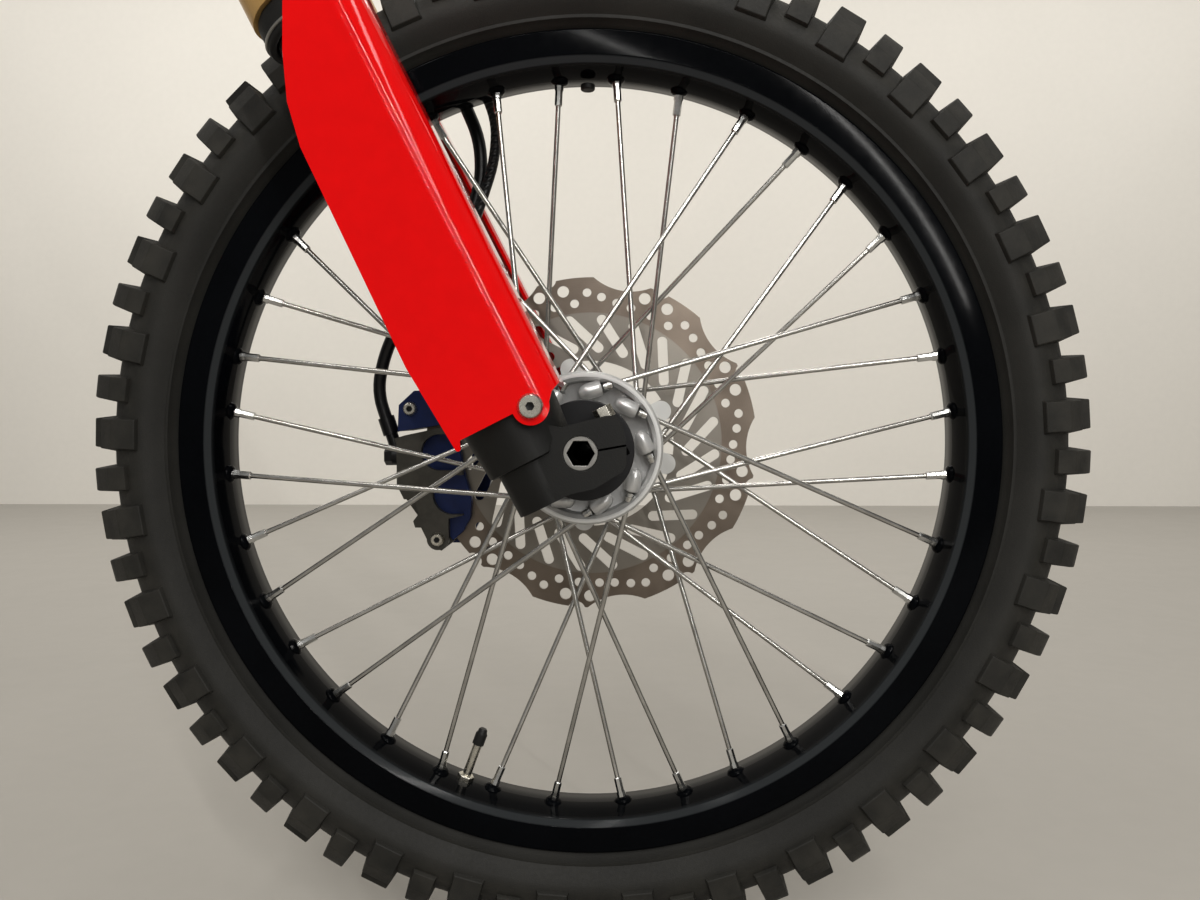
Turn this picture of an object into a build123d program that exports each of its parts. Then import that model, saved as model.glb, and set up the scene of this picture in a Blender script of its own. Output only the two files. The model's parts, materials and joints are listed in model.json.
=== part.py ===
from build123d import *
from math import acos, cos, degrees, pi, radians, sin, tan
import os

# Front end of a trail motorcycle: laced wheel with block tyre, upside-down fork,
# fork clamps and stem, leg guards, brake disc, caliper, brake hose and sensor wire.
# Millimetres. +X forward, +Y to the rider's left, +Z up. The origin is the centre
# of the lower bearing seat on the steering stem.

# Steering and fork geometry
RAKE = 26.8                # stem and legs lean back from the vertical
AXLE_DROP = 700.0          # bearing seat to axle, measured down the legs
CLAMP_OFFSET = 22.0        # stem axis to leg axis
AXLE_LEAD = 28.0           # leg axis to axle
LEG_SPACING = 216.0        # between the two leg axes

# Clearances
FIT_GAP = 0.05             # running fit, on the radius
PRESS_GAP = 0.02           # pressed seat, on the radius
SEAT_GAP = 0.3             # between curved faces that only rest on each other
TURN_GAP = 5.0             # round the turning wheel and disc

# Steering stem and clamps, heights measured along the stem from the origin
BEARING_SEAT_R = 15.0
BEARING_SEAT_LENGTH = 17.0
STEM_R = 13.0
STEM_FOOT_R = 17.0
STEM_SHOULDER_R = 21.0
STEM_SHOULDER = 2.0
STEM_BORE_R = 9.0
HEAD_SPACE = 172.0         # lower clamp top to upper clamp underside
LOWER_CLAMP_THICK = 48.0
UPPER_CLAMP_THICK = 30.0
LEG_TO_CLAMP_WALL = 9.0
CLAMP_NECK_R = 30.0
CLAMP_EAR = 11.0           # behind the ring, where the pinch bolts cross
CLAMP_EAR_WIDTH = 28.0
CLAMP_SLIT = 3.0
STEM_NUT_R = 17.0
STEM_NUT_HEIGHT = 11.0
BAR_HOLE_R = 6.0
BAR_HOLE_SPACING = 98.0
BAR_HOLE_AHEAD = 4.0

# Fork legs, heights measured from the axle along the leg
INNER_TUBE_R = 24.0
INNER_TUBE_WALL = 2.0
INNER_TUBE_FOOT = 30.0
INNER_TUBE_TOP = 560.0
OUTER_TUBE_R = 30.0
OUTER_TUBE_WALL = 3.0
OUTER_TUBE_FOOT = 300.0
OUTER_TUBE_TOP = 896.0
COLLAR_R = OUTER_TUBE_R + 1.0
COLLAR_LENGTH = 22.0
SEAL_R = OUTER_TUBE_R - 1.0
SEAL_HEIGHT = 17.0
CAP_HEIGHT = 9.0
ADJUSTER_R = 8.0
ADJUSTER_HEIGHT = 5.0

# Fork foot
LUG_WIDTH = 42.0           # across the wheel
FOOT_TOP = 62.0
FOOT_R = INNER_TUBE_R + 5.5
CLAMP_BOLT_R = 3.0
CLAMP_BOLT_HEAD = 7.0
CLAMP_BOLT_AHEAD = 50.0    # from the leg axis
CLAMP_BOLT_SPACING = 22.0
CLAMP_BOLT_FOOT = -13.0    # shank end and head seat, from the axle's height
CLAMP_BOLT_SEAT = 11.0
AXLE_SLIT = 1.2
AXLE_SLIT_DIP = 16.8       # degrees below the line square to the leg

# Axle and wheel centre
AXLE_R = 10.0
AXLE_BORE_R = 5.5
AXLE_HEX_AF = 13.8
AXLE_HEX_DEPTH = 20.0
SPACER_R = 15.5
DUST_COVER_R = 31.5
DUST_COVER_THICK = 5.0
DUST_COVER_GAP = 0.5       # to the foot's barrel
HUB_BEARING_R = 21.0
HUB_BEARING_WIDTH = 12.0
HUB_BEARING_Y = 20.0       # inner face of each wheel bearing
HUB_SEAL_WIDTH = 5.0

# Rim, radii from the axle
RIM_R = 279.5
RIM_HALF_WIDTH = 25.5
RIM_WELL_R = RIM_R - 27.0
RIM_WALL = 3.2
PLUG_R = 5.0
PLUG_HEIGHT = 4.0
PLUG_ANGLE = 90.0
VALVE_R = 3.2
VALVE_REACH = 36.5         # inwards from the well
VALVE_CAP_LENGTH = 12.0
VALVE_ANGLE = 249.7

# Tyre, heights above the rim's edge
TYRE_BEAD_R = RIM_R - 10.9
TREAD_PITCHES = 33
TREAD_PHASE = -7.1

# Spokes
SPOKES_PER_SIDE = 18
SPOKE_R = 1.8
SPOKE_HEAD_R = 3.3
SPOKE_HEAD_LENGTH = 3.0
SPOKE_TANGENT_R = 36.0     # each spoke line passes this far from the axle
SPOKE_HUB_R = 45.5
SPOKE_STAGGER = 6.4        # leading and trailing spokes, across the flange
SPOKE_FLANGE_Y = 30.0
NIPPLE_Y = 4.0
NIPPLE_R = 2.8
NIPPLE_LENGTH = 12.5
NIPPLE_PHASE = 5.0

# Brake
DISC_Y = 72.0
DISC_THICK = 3.0
DISC_R = 130.0
DISC_NOTCHES = 9
DISC_PHASE = 25.0
DISC_SLOTS = 24
DISC_SLOT_WIDTH = 7.8
DISC_SLOT_LAG = 14.5       # degrees from a slot's outer end back to its inner end
DISC_BOLT_CIRCLE_R = 60.0
DISC_BOLT_R = 3.0
DISC_BOLT_HEAD_R = 5.5
DISC_BOLT_HEAD = 3.0
DISC_BOLT_ANGLES = (-15, 25, 105, 145, 225, 265)
PAD_GAP = 0.5
PAD_THICK = 8.0
FINGER_THICK = 7.0
BRACKET_THICK = 8.0
EAR_THICK = 12.0
PISTON_BOSS_R = 14.0
PISTON_BOSS_HEIGHT = 6.0
SLIDE_PIN_R = 4.0
SLIDE_PIN_HEAD_R = 5.6

# Leg guards
GUARD_R = COLLAR_R + 5.0
GUARD_WALL = 2.0
GUARD_INNER_REACH = INNER_TUBE_R + 2.0
GUARD_CORNER_R = 18.0
GUARD_BOLT = (16.1, 35.5)  # ahead of the leg axis, up the leg
GUARD_LOBE_R = 10.4
GUARD_BOLT_R = 3.0
GUARD_BOLT_HEAD_R = 7.3
GUARD_BOLT_HEAD = 3.5
GUARD_BOLT_REACH = 11.5
GUARD_BOLT_BORE = 14.0     # depth of its hole from the guard's face
GUARD_FLAP = 35.2
GUARD_TOP = 380.0

# Brake hose and sensor wire
HOSE_R = 5.0
WIRE_R = 4.0
BEND_SHARE = 0.45          # of the shorter run, taken up by a bend
FERRULE_LENGTH = 11.0
FERRULE_WALL = 1.6
BANJO_EYE_R = 7.5
BANJO_EYE_WIDTH = 9.0
BANJO_BOLT_R = 4.5
BANJO_HEAD_HEIGHT = 6.0
HOSE_PORT_R = 8.0
CLIP_HEIGHT = 8.0
CLIP_WALL = 1.6
UNION_WIDTH = 35.0
UNION_THICK = 16.0
UNION_PLATE = 4.0

LEG_Y = LEG_SPACING / 2
LUG_IN = LEG_Y - LUG_WIDTH / 2
LUG_OUT = LEG_Y + LUG_WIDTH / 2
DISC_FACE_Y = DISC_Y - DISC_THICK / 2
DISC_BACK_Y = DISC_Y + DISC_THICK / 2
PAD_IN_Y = DISC_FACE_Y - PAD_GAP - PAD_THICK
PAD_OUT_Y = DISC_BACK_Y + PAD_GAP + PAD_THICK
CALIPER_IN_Y = PAD_IN_Y - FINGER_THICK
BRACKET_OUT_Y = LUG_OUT - 13.0
CALIPER_OUT_Y = BRACKET_OUT_Y - BRACKET_THICK
EAR_OUT_Y = BRACKET_OUT_Y + EAR_THICK
LOWER_CLAMP_TOP = -BEARING_SEAT_LENGTH / 2 - STEM_SHOULDER
LOWER_CLAMP_LOW = LOWER_CLAMP_TOP - LOWER_CLAMP_THICK
UPPER_CLAMP_LOW = LOWER_CLAMP_TOP + HEAD_SPACE
STEM_TOP = UPPER_CLAMP_LOW + UPPER_CLAMP_THICK + STEM_NUT_HEIGHT + 1.0
CLAMP_RING_R = OUTER_TUBE_R + LEG_TO_CLAMP_WALL

UP = Vector(-sin(radians(RAKE)), 0, cos(radians(RAKE)))
AHEAD = Vector(cos(radians(RAKE)), 0, sin(radians(RAKE)))
LEFT = Vector(0, 1, 0)
AXLE = AHEAD * (CLAMP_OFFSET + AXLE_LEAD) - UP * AXLE_DROP
SPIN = Axis(AXLE, LEFT)
# Seen from the bike's right: x forward, y up, z towards the viewer
WHEEL = Plane(origin=AXLE, x_dir=(1, 0, 0), z_dir=(0, -1, 0))
# Radius by x, place across the wheel by y
WHEEL_SECTION = Plane(origin=AXLE, x_dir=(1, 0, 0), z_dir=(0, 0, 1))
SIDES = (("right", -1), ("left", 1))

os.makedirs("parts", exist_ok=True)


def keep(piece, name):
    """Label a finished piece and write it."""
    piece.label = name
    export_step(piece, f"parts/{name}.step")


def leg_plane(side, height=0.0):
    """Plane square to a leg: x ahead, y left, z up the leg; height from the axle."""
    foot = AXLE - AHEAD * AXLE_LEAD + LEFT * (side * LEG_Y)
    return Plane(origin=foot + UP * height, x_dir=AHEAD, z_dir=UP)


def stem_plane(height=0.0):
    """Plane square to the stem, at a height above the origin."""
    return Plane(origin=UP * height, x_dir=AHEAD, z_dir=UP)


def across_plane(y, origin=AXLE, x_dir=(1, 0, 0)):
    """Plane facing the bike's right, at y across the bike."""
    return Plane(origin=origin + LEFT * y, x_dir=x_dir, z_dir=(0, -1, 0))


def foot_plane(side, y=0.0):
    """Side view of a leg: x ahead of its axis, y up the leg; y across from its middle."""
    return across_plane(side * LEG_Y + y, AXLE - AHEAD * AXLE_LEAD, AHEAD)


def edge(*points):
    """Points given from the disc's rear edge, as points from the axle."""
    return [(x - DISC_R, z) for x, z in points]


def mirrored(points):
    """An outline's points on the other side of the wheel's middle plane."""
    return [(r, -y) for r, y in points]


def ring(inner_r, outer_r, low_y, high_y):
    """A ring about the axle between two places across the bike."""
    with BuildPart() as turned:
        with BuildSketch(across_plane(high_y)):
            Circle(outer_r)
            Circle(inner_r, mode=Mode.SUBTRACT)
        extrude(amount=high_y - low_y)
    return turned.part


# Tyre casing, one half: radius, distance from the middle plane
CASING = (
    (TYRE_BEAD_R, RIM_HALF_WIDTH - 12.5),
    (TYRE_BEAD_R, RIM_HALF_WIDTH - 5.5),
    (RIM_R + 0.5, RIM_HALF_WIDTH - 3.7),
    (RIM_R + 9.0, RIM_HALF_WIDTH + 4.5),
    (RIM_R + 22.5, RIM_HALF_WIDTH + 11.0),
    (RIM_R + 32.5, RIM_HALF_WIDTH + 8.0),
    (RIM_R + 43.5, RIM_HALF_WIDTH - 1.0),
    (RIM_R + 51.5, 12.0),
    (RIM_R + 53.5, 0.0),
    (RIM_R + 45.5, 0.0),
    (RIM_R + 38.5, 17.0),
    (RIM_R + 24.5, RIM_HALF_WIDTH + 2.5),
    (RIM_R + 10.5, RIM_HALF_WIDTH - 1.5),
    (RIM_R - 3.5, RIM_HALF_WIDTH - 11.5),
)
# Tread blocks: outline as height above the rim's edge and place across, length round the
# tyre, share of a pitch
TREAD_BLOCKS = (
    (((21.0, 33), (24.0, 39.4), (40.5, 38), (52.5, 29), (43.0, 21)), 23.0, 0.0),
    (((29.5, 30), (32.7, 37), (45.0, 35), (57.0, 26), (65.0, 15), (50.5, 11)), 18.0, 0.5),
    (((49.5, -9.5), (68, -9), (68, 9), (49.5, 9.5)), 23.0, 0.0),
)


def tread_pitch():
    """The blocks of one pitch about the Z axis, with +X pointing outwards."""
    with BuildPart() as blocks:
        for heights, length, share in TREAD_BLOCKS:
            turn = radians(share * 360 / TREAD_PITCHES)
            radial = Plane((0, 0, 0), x_dir=(cos(turn), sin(turn), 0), z_dir=(sin(turn), -cos(turn), 0))
            outline = [(RIM_R + height, y) for height, y in heights]
            with BuildSketch(radial):
                Polygon(*outline, align=None)
                if outline[0][1] > 0:
                    Polygon(*mirrored(outline), align=None)
            extrude(amount=length / 2, both=True)
    return blocks.part


pitch_blocks = tread_pitch()
with BuildPart(WHEEL) as tyre:
    with BuildSketch(WHEEL_SECTION):
        Polygon(*CASING, align=None)
        Polygon(*mirrored(CASING), align=None)
    revolve(axis=SPIN)
    with PolarLocations(0, TREAD_PITCHES, start_angle=TREAD_PHASE):
        add(pitch_blocks)
keep(tyre.part, "tyre")

# Rim, one half: hooked flange, flat side wall, a ledge and a rounded well
RIM_SECTION = (
    (RIM_R, RIM_HALF_WIDTH),
    (RIM_R - 18.5, RIM_HALF_WIDTH - 0.5),
    (RIM_WELL_R + 4.5, RIM_HALF_WIDTH - 4.5),
    (RIM_WELL_R + 2.0, 12.0),
    (RIM_WELL_R, 5.0),
    (RIM_WELL_R, 0.0),
    (RIM_WELL_R + RIM_WALL, 0.0),
    (RIM_WELL_R + RIM_WALL, 8.0),
    (TYRE_BEAD_R - 1.1, RIM_HALF_WIDTH - 13.0),
    (TYRE_BEAD_R - SEAT_GAP, RIM_HALF_WIDTH - 5.2),
    (RIM_R - 0.5, RIM_HALF_WIDTH - 3.3),
    (RIM_R, RIM_HALF_WIDTH - 2.0),
)
with BuildPart() as rim:
    with BuildSketch(WHEEL_SECTION):
        Polygon(*RIM_SECTION, align=None)
        Polygon(*mirrored(RIM_SECTION), align=None)
    revolve(axis=SPIN)
keep(rim.part, "rim")


def radial_plane(angle, radius):
    """Plane square to a line from the axle, at a radius and an angle above forward."""
    out = Vector(cos(radians(angle)), 0, sin(radians(angle)))
    return Plane(origin=AXLE + out * radius, z_dir=out)


with BuildPart() as rim_plug:
    with BuildSketch(radial_plane(PLUG_ANGLE, RIM_WELL_R - SEAT_GAP - PLUG_HEIGHT)):
        Circle(PLUG_R)
    extrude(amount=PLUG_HEIGHT)
    fillet(rim_plug.edges().group_by(Axis.Z)[0], PLUG_R / 4)
keep(rim_plug.part, "rim_plug")

# Valve: stem, nut against the well, and cap
VALVE_TOP = RIM_WELL_R - SEAT_GAP
VALVE_FOOT = RIM_WELL_R - VALVE_REACH
with BuildPart() as valve:
    with BuildSketch(radial_plane(VALVE_ANGLE, VALVE_FOOT + VALVE_CAP_LENGTH / 2)):
        Circle(VALVE_R)
    extrude(amount=VALVE_TOP - VALVE_FOOT - VALVE_CAP_LENGTH / 2)
    with BuildSketch(radial_plane(VALVE_ANGLE, VALVE_TOP - 4.0)):
        RegularPolygon(VALVE_R + 2.8, 6)
    extrude(amount=4.0)
    with BuildSketch(radial_plane(VALVE_ANGLE, VALVE_FOOT)):
        Circle(VALVE_R + 1.2)
    extrude(amount=VALVE_CAP_LENGTH)
keep(valve.part, "valve")


def spoke_lines(side):
    """Start on the hub and end at the nipple's foot for each spoke on one side."""
    lines = []
    step = 360 / SPOKES_PER_SIDE
    nipple_r = RIM_WELL_R - SEAT_GAP - NIPPLE_LENGTH
    swing = degrees(acos(SPOKE_TANGENT_R / nipple_r) - acos(SPOKE_TANGENT_R / SPOKE_HUB_R))
    for count in range(SPOKES_PER_SIDE):
        lead = 1 if (count + (side > 0)) % 2 else -1
        rim_angle = radians(NIPPLE_PHASE + count * step + (0 if side < 0 else step / 2))
        hub_angle = rim_angle + radians(lead * swing)
        hub_y = side * (SPOKE_FLANGE_Y + lead * SPOKE_STAGGER / 2)
        start = AXLE + Vector(SPOKE_HUB_R * cos(hub_angle), hub_y, SPOKE_HUB_R * sin(hub_angle))
        end = AXLE + Vector(nipple_r * cos(rim_angle), side * NIPPLE_Y, nipple_r * sin(rim_angle))
        lines.append((start, end))
    return lines


def spoke_rods(side, radius, before, after=None):
    """Rods of one radius along the spokes of one side, from before their start."""
    with BuildPart() as rods:
        for start, end in spoke_lines(side):
            run = (end - start).normalized()
            length = (end - start).length if after is None else after
            with BuildSketch(Plane(start - run * before, z_dir=run)):
                Circle(radius)
            extrude(amount=length + before)
    return rods.part


for name, side in SIDES:
    heads = spoke_rods(side, SPOKE_HEAD_R, SPOKE_HEAD_LENGTH, 0.0)
    with BuildPart() as spokes:
        add(spoke_rods(side, SPOKE_R, 0.0))
        add(heads)
    keep(spokes.part, f"spokes_{name}")

with BuildPart() as nipples:
    for name, side in SIDES:
        for start, end in spoke_lines(side):
            with BuildSketch(Plane(end, z_dir=end - start)):
                RegularPolygon(NIPPLE_R, 6)
            extrude(amount=NIPPLE_LENGTH)
keep(nipples.part, "nipples")

# Hub: two open cups whose walls carry the spokes, and a disc carrier on the left
FLANGE_R = SPOKE_HUB_R + 6.0
FLANGE_END_Y = SPOKE_FLANGE_Y + 8.0
SEAL_Y = HUB_BEARING_Y + HUB_BEARING_WIDTH
HUB_HALF = (
    (HUB_BEARING_R - 4.0, 0.0),
    (HUB_BEARING_R + 6.0, 0.0),
    (HUB_BEARING_R + 6.0, 6.0),
    (HUB_BEARING_R + 10.0, 14.0),
    (SPOKE_HUB_R + 0.5, SPOKE_FLANGE_Y - 8.5),
    (FLANGE_R, SPOKE_FLANGE_Y - 6.0),
    (FLANGE_R, SPOKE_FLANGE_Y + 6.0),
    (FLANGE_R - 1.5, FLANGE_END_Y),
    (FLANGE_R - 4.0, FLANGE_END_Y),
    (FLANGE_R - 6.5, SPOKE_FLANGE_Y + 5.0),
    (SPOKE_HUB_R - 1.5, SPOKE_FLANGE_Y - 4.5),
    (HUB_BEARING_R + 5.5, HUB_BEARING_Y + 3.0),
    (HUB_BEARING_R + 4.5, SEAL_Y + HUB_SEAL_WIDTH),
    (HUB_BEARING_R, SEAL_Y + HUB_SEAL_WIDTH),
    (HUB_BEARING_R, HUB_BEARING_Y),
    (HUB_BEARING_R - 4.0, HUB_BEARING_Y),
)
DISC_TAB_R = 8.0
CARRIER_R = DISC_BOLT_CIRCLE_R - 7.0
with BuildPart() as hub:
    with BuildSketch(WHEEL_SECTION):
        Polygon(*HUB_HALF, align=None)
        Polygon(*mirrored(HUB_HALF), align=None)
        Polygon(
            (FLANGE_R, FLANGE_END_Y - 5.0),
            (FLANGE_R, FLANGE_END_Y),
            (FLANGE_R - 5.0, FLANGE_END_Y + 8.0),
            (FLANGE_R - 6.0, DISC_FACE_Y - 9.0),
            (CARRIER_R, DISC_FACE_Y - 7.0),
            (CARRIER_R, DISC_FACE_Y),
            (CARRIER_R - 13.0, DISC_FACE_Y),
            (FLANGE_R - 11.5, FLANGE_END_Y + 8.0),
            (FLANGE_R - 6.5, FLANGE_END_Y - 1.0),
            (FLANGE_R - 6.5, FLANGE_END_Y - 5.0),
            align=None,
        )
    revolve(axis=SPIN)
    with BuildSketch(across_plane(DISC_FACE_Y)):
        for angle in DISC_BOLT_ANGLES:
            with PolarLocations(DISC_BOLT_CIRCLE_R, 1, start_angle=angle):
                Circle(DISC_TAB_R)
            with PolarLocations(DISC_BOLT_CIRCLE_R - DISC_TAB_R, 1, start_angle=angle):
                Rectangle(2 * DISC_TAB_R, 2 * DISC_TAB_R)
        Circle(CARRIER_R - DISC_TAB_R, mode=Mode.SUBTRACT)
    extrude(amount=8.0)
    for side in (-1, 1):
        add(spoke_rods(side, SPOKE_R + SEAT_GAP, 0.0, 16.0), mode=Mode.SUBTRACT)
        add(spoke_rods(side, SPOKE_HEAD_R + SEAT_GAP, 9.0, 0.0), mode=Mode.SUBTRACT)
keep(hub.part, "hub")

with BuildPart() as bearings:
    for side in (-1, 1):
        low, high = sorted((side * HUB_BEARING_Y, side * SEAL_Y))
        add(ring(AXLE_R + FIT_GAP, HUB_BEARING_R - PRESS_GAP, low, high))
keep(bearings.part, "wheel_bearings")

with BuildPart() as hub_seals:
    for side in (-1, 1):
        low, high = sorted((side * SEAL_Y, side * (SEAL_Y + HUB_SEAL_WIDTH)))
        add(ring(SPACER_R + 0.1, HUB_BEARING_R - PRESS_GAP, low, high))
keep(hub_seals.part, "hub_seals")

# Brake disc: thin plate with a waved rim, drilled track and slanted slots.
# Holes: radius, depth from the disc's edge to the hole's centre, angle from a notch
DISC_HOLES = (
    (4.6, 9.2, 4.6),
    (4.6, 9.2, -4.6),
    (3.45, 19.7, 0.0),
    (3.45, 19.8, -8.3),
    (3.45, 11.8, -13.5),
    (3.45, 15.0, -19.1),
    (3.45, 18.3, -25.4),
    (3.45, 19.5, -31.5),
)
SLOT_OUT_R = DISC_R - 32.5
DISC_INNER_R = DISC_BOLT_CIRCLE_R + 5.0
SLOT_IN_R = (DISC_INNER_R + SLOT_OUT_R) / 2 - 6.0
with BuildPart() as disc:
    with BuildSketch(across_plane(DISC_BACK_Y)):
        Circle(DISC_R)
        with PolarLocations(DISC_R + 2.6, DISC_NOTCHES, start_angle=DISC_PHASE):
            Circle(7.0, mode=Mode.SUBTRACT)
        with PolarLocations(DISC_R + 36.8, DISC_NOTCHES, start_angle=DISC_PHASE - 26):
            Circle(45.0, mode=Mode.SUBTRACT)
        for hole_r, depth, offset in DISC_HOLES:
            with PolarLocations(DISC_R - depth, DISC_NOTCHES, start_angle=DISC_PHASE + offset):
                Circle(hole_r, mode=Mode.SUBTRACT)
        for slot in range(DISC_SLOTS):
            outer = radians(DISC_PHASE + slot * 360 / DISC_SLOTS)
            inner = outer - radians(DISC_SLOT_LAG)
            outer_end = Vector(SLOT_OUT_R * cos(outer), SLOT_OUT_R * sin(outer))
            inner_end = Vector(SLOT_IN_R * cos(inner), SLOT_IN_R * sin(inner))
            SlotCenterPoint((outer_end + inner_end) / 2, outer_end, DISC_SLOT_WIDTH, mode=Mode.SUBTRACT)
        Circle(DISC_INNER_R, mode=Mode.SUBTRACT)
        for angle in DISC_BOLT_ANGLES:
            with PolarLocations(DISC_BOLT_CIRCLE_R, 1, start_angle=angle):
                Circle(DISC_TAB_R)
                Rectangle(DISC_TAB_R, 2 * DISC_TAB_R, align=(Align.MIN, Align.CENTER))
                Circle(DISC_BOLT_R + FIT_GAP, mode=Mode.SUBTRACT)
    extrude(amount=DISC_THICK)
keep(disc.part, "brake_disc")

with BuildPart() as disc_bolts:
    for radius, low, high in (
        (DISC_BOLT_R, DISC_FACE_Y, DISC_BACK_Y),
        (DISC_BOLT_HEAD_R, DISC_BACK_Y, DISC_BACK_Y + DISC_BOLT_HEAD),
    ):
        with BuildSketch(across_plane(high)):
            for angle in DISC_BOLT_ANGLES:
                with PolarLocations(DISC_BOLT_CIRCLE_R, 1, start_angle=angle):
                    Circle(radius)
        extrude(amount=high - low)
keep(disc_bolts.part, "disc_bolts")

# Axle, hollow with a hexagon in its right end, nut on the left
AXLE_NUT_AF = 27.0
AXLE_NUT_WASHER = 2.0
AXLE_NUT_HEIGHT = 11.0
AXLE_OUT_Y = LUG_OUT + AXLE_NUT_WASHER + AXLE_NUT_HEIGHT + 1.0
AXLE_INSET = 2.0
with BuildPart() as axle:
    with BuildSketch(across_plane(AXLE_OUT_Y)):
        Circle(AXLE_R)
        Circle(AXLE_BORE_R, mode=Mode.SUBTRACT)
    extrude(amount=AXLE_OUT_Y + LUG_OUT - AXLE_INSET)
    with BuildSketch(across_plane(AXLE_INSET - LUG_OUT + AXLE_HEX_DEPTH)):
        RegularPolygon(AXLE_HEX_AF / 2, 6, major_radius=False)
    extrude(amount=AXLE_HEX_DEPTH, mode=Mode.SUBTRACT)
keep(axle.part, "axle")

with BuildPart() as axle_nut:
    with BuildSketch(across_plane(LUG_OUT + AXLE_NUT_WASHER + AXLE_NUT_HEIGHT)):
        RegularPolygon(AXLE_NUT_AF / 2, 6, major_radius=False)
    extrude(amount=AXLE_NUT_HEIGHT)
    with BuildSketch(across_plane(LUG_OUT + AXLE_NUT_WASHER)):
        Circle(SPACER_R - 0.5)
    extrude(amount=AXLE_NUT_WASHER)
    with BuildSketch(across_plane(AXLE_OUT_Y)):
        Circle(AXLE_R + FIT_GAP)
    extrude(amount=AXLE_OUT_Y - LUG_OUT, mode=Mode.SUBTRACT)
keep(axle_nut.part, "axle_nut")

# Spacers between the bearings and the feet, the right one with a dust cover
SPACER_IN = SEAL_Y + SEAT_GAP
for name, side in SIDES:
    with BuildPart() as spacer:
        low, high = sorted((side * SPACER_IN, side * LUG_IN))
        add(ring(AXLE_R + FIT_GAP, SPACER_R, low, high))
        if side < 0:
            cover_y = FOOT_R + DUST_COVER_GAP - LEG_Y
            add(ring(SPACER_R, DUST_COVER_R, cover_y, cover_y + DUST_COVER_THICK))
    keep(spacer.part, f"axle_spacer_{name}")

# Fork foot: stepped barrel round the inner tube, with a split axle clamp in front.
# Outlines in the leg's side view: ahead of the leg axis, up the leg
BARREL = (
    (0, -18),
    (LUG_WIDTH / 2 + 0.3, -18),
    (LUG_WIDTH / 2 + 0.8, 8),
    (FOOT_R - 2.5, 9),
    (FOOT_R, 36),
    (FOOT_R, FOOT_TOP),
    (0, FOOT_TOP),
)
AXLE_CLAMP = (
    (0, -18),
    (12.6, -18),
    (AXLE_LEAD - 2, -21.5),
    (AXLE_LEAD + 16, -20),
    (AXLE_LEAD + 20, -18),
    (AXLE_LEAD + 26, -6),
    (AXLE_LEAD + 28.8, 5),
    (AXLE_LEAD + 27, 10.5),
    (AXLE_LEAD + 22, 12.6),
    (AXLE_LEAD + 3, 16.8),
    (24.7, 18.2),
    (19.2, 22.5),
    (18, 26),
    (0, 26),
)
# The ear that carries the brake: front edge from the axle, rear edge from the disc
BRACKET_EAR = [(-50, 34), (-36, -12), (-76, -14)] + edge((40, 8), (26, 24), (24, 46), (42, 50))
CALIPER_BOLTS = edge((34, 37), (49, 6))
CALIPER_BOLT_R = 4.0
SEAT_BORE_R = 7.0
SPOT_DEPTH = 20.0          # cleared beyond the lug's faces round the axle
CLAMP_BOLTS = [(CLAMP_BOLT_AHEAD, across * CLAMP_BOLT_SPACING / 2) for across in (-1, 1)]
GUARD_BOSS_REACH = GUARD_R - GUARD_WALL - 0.9
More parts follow.
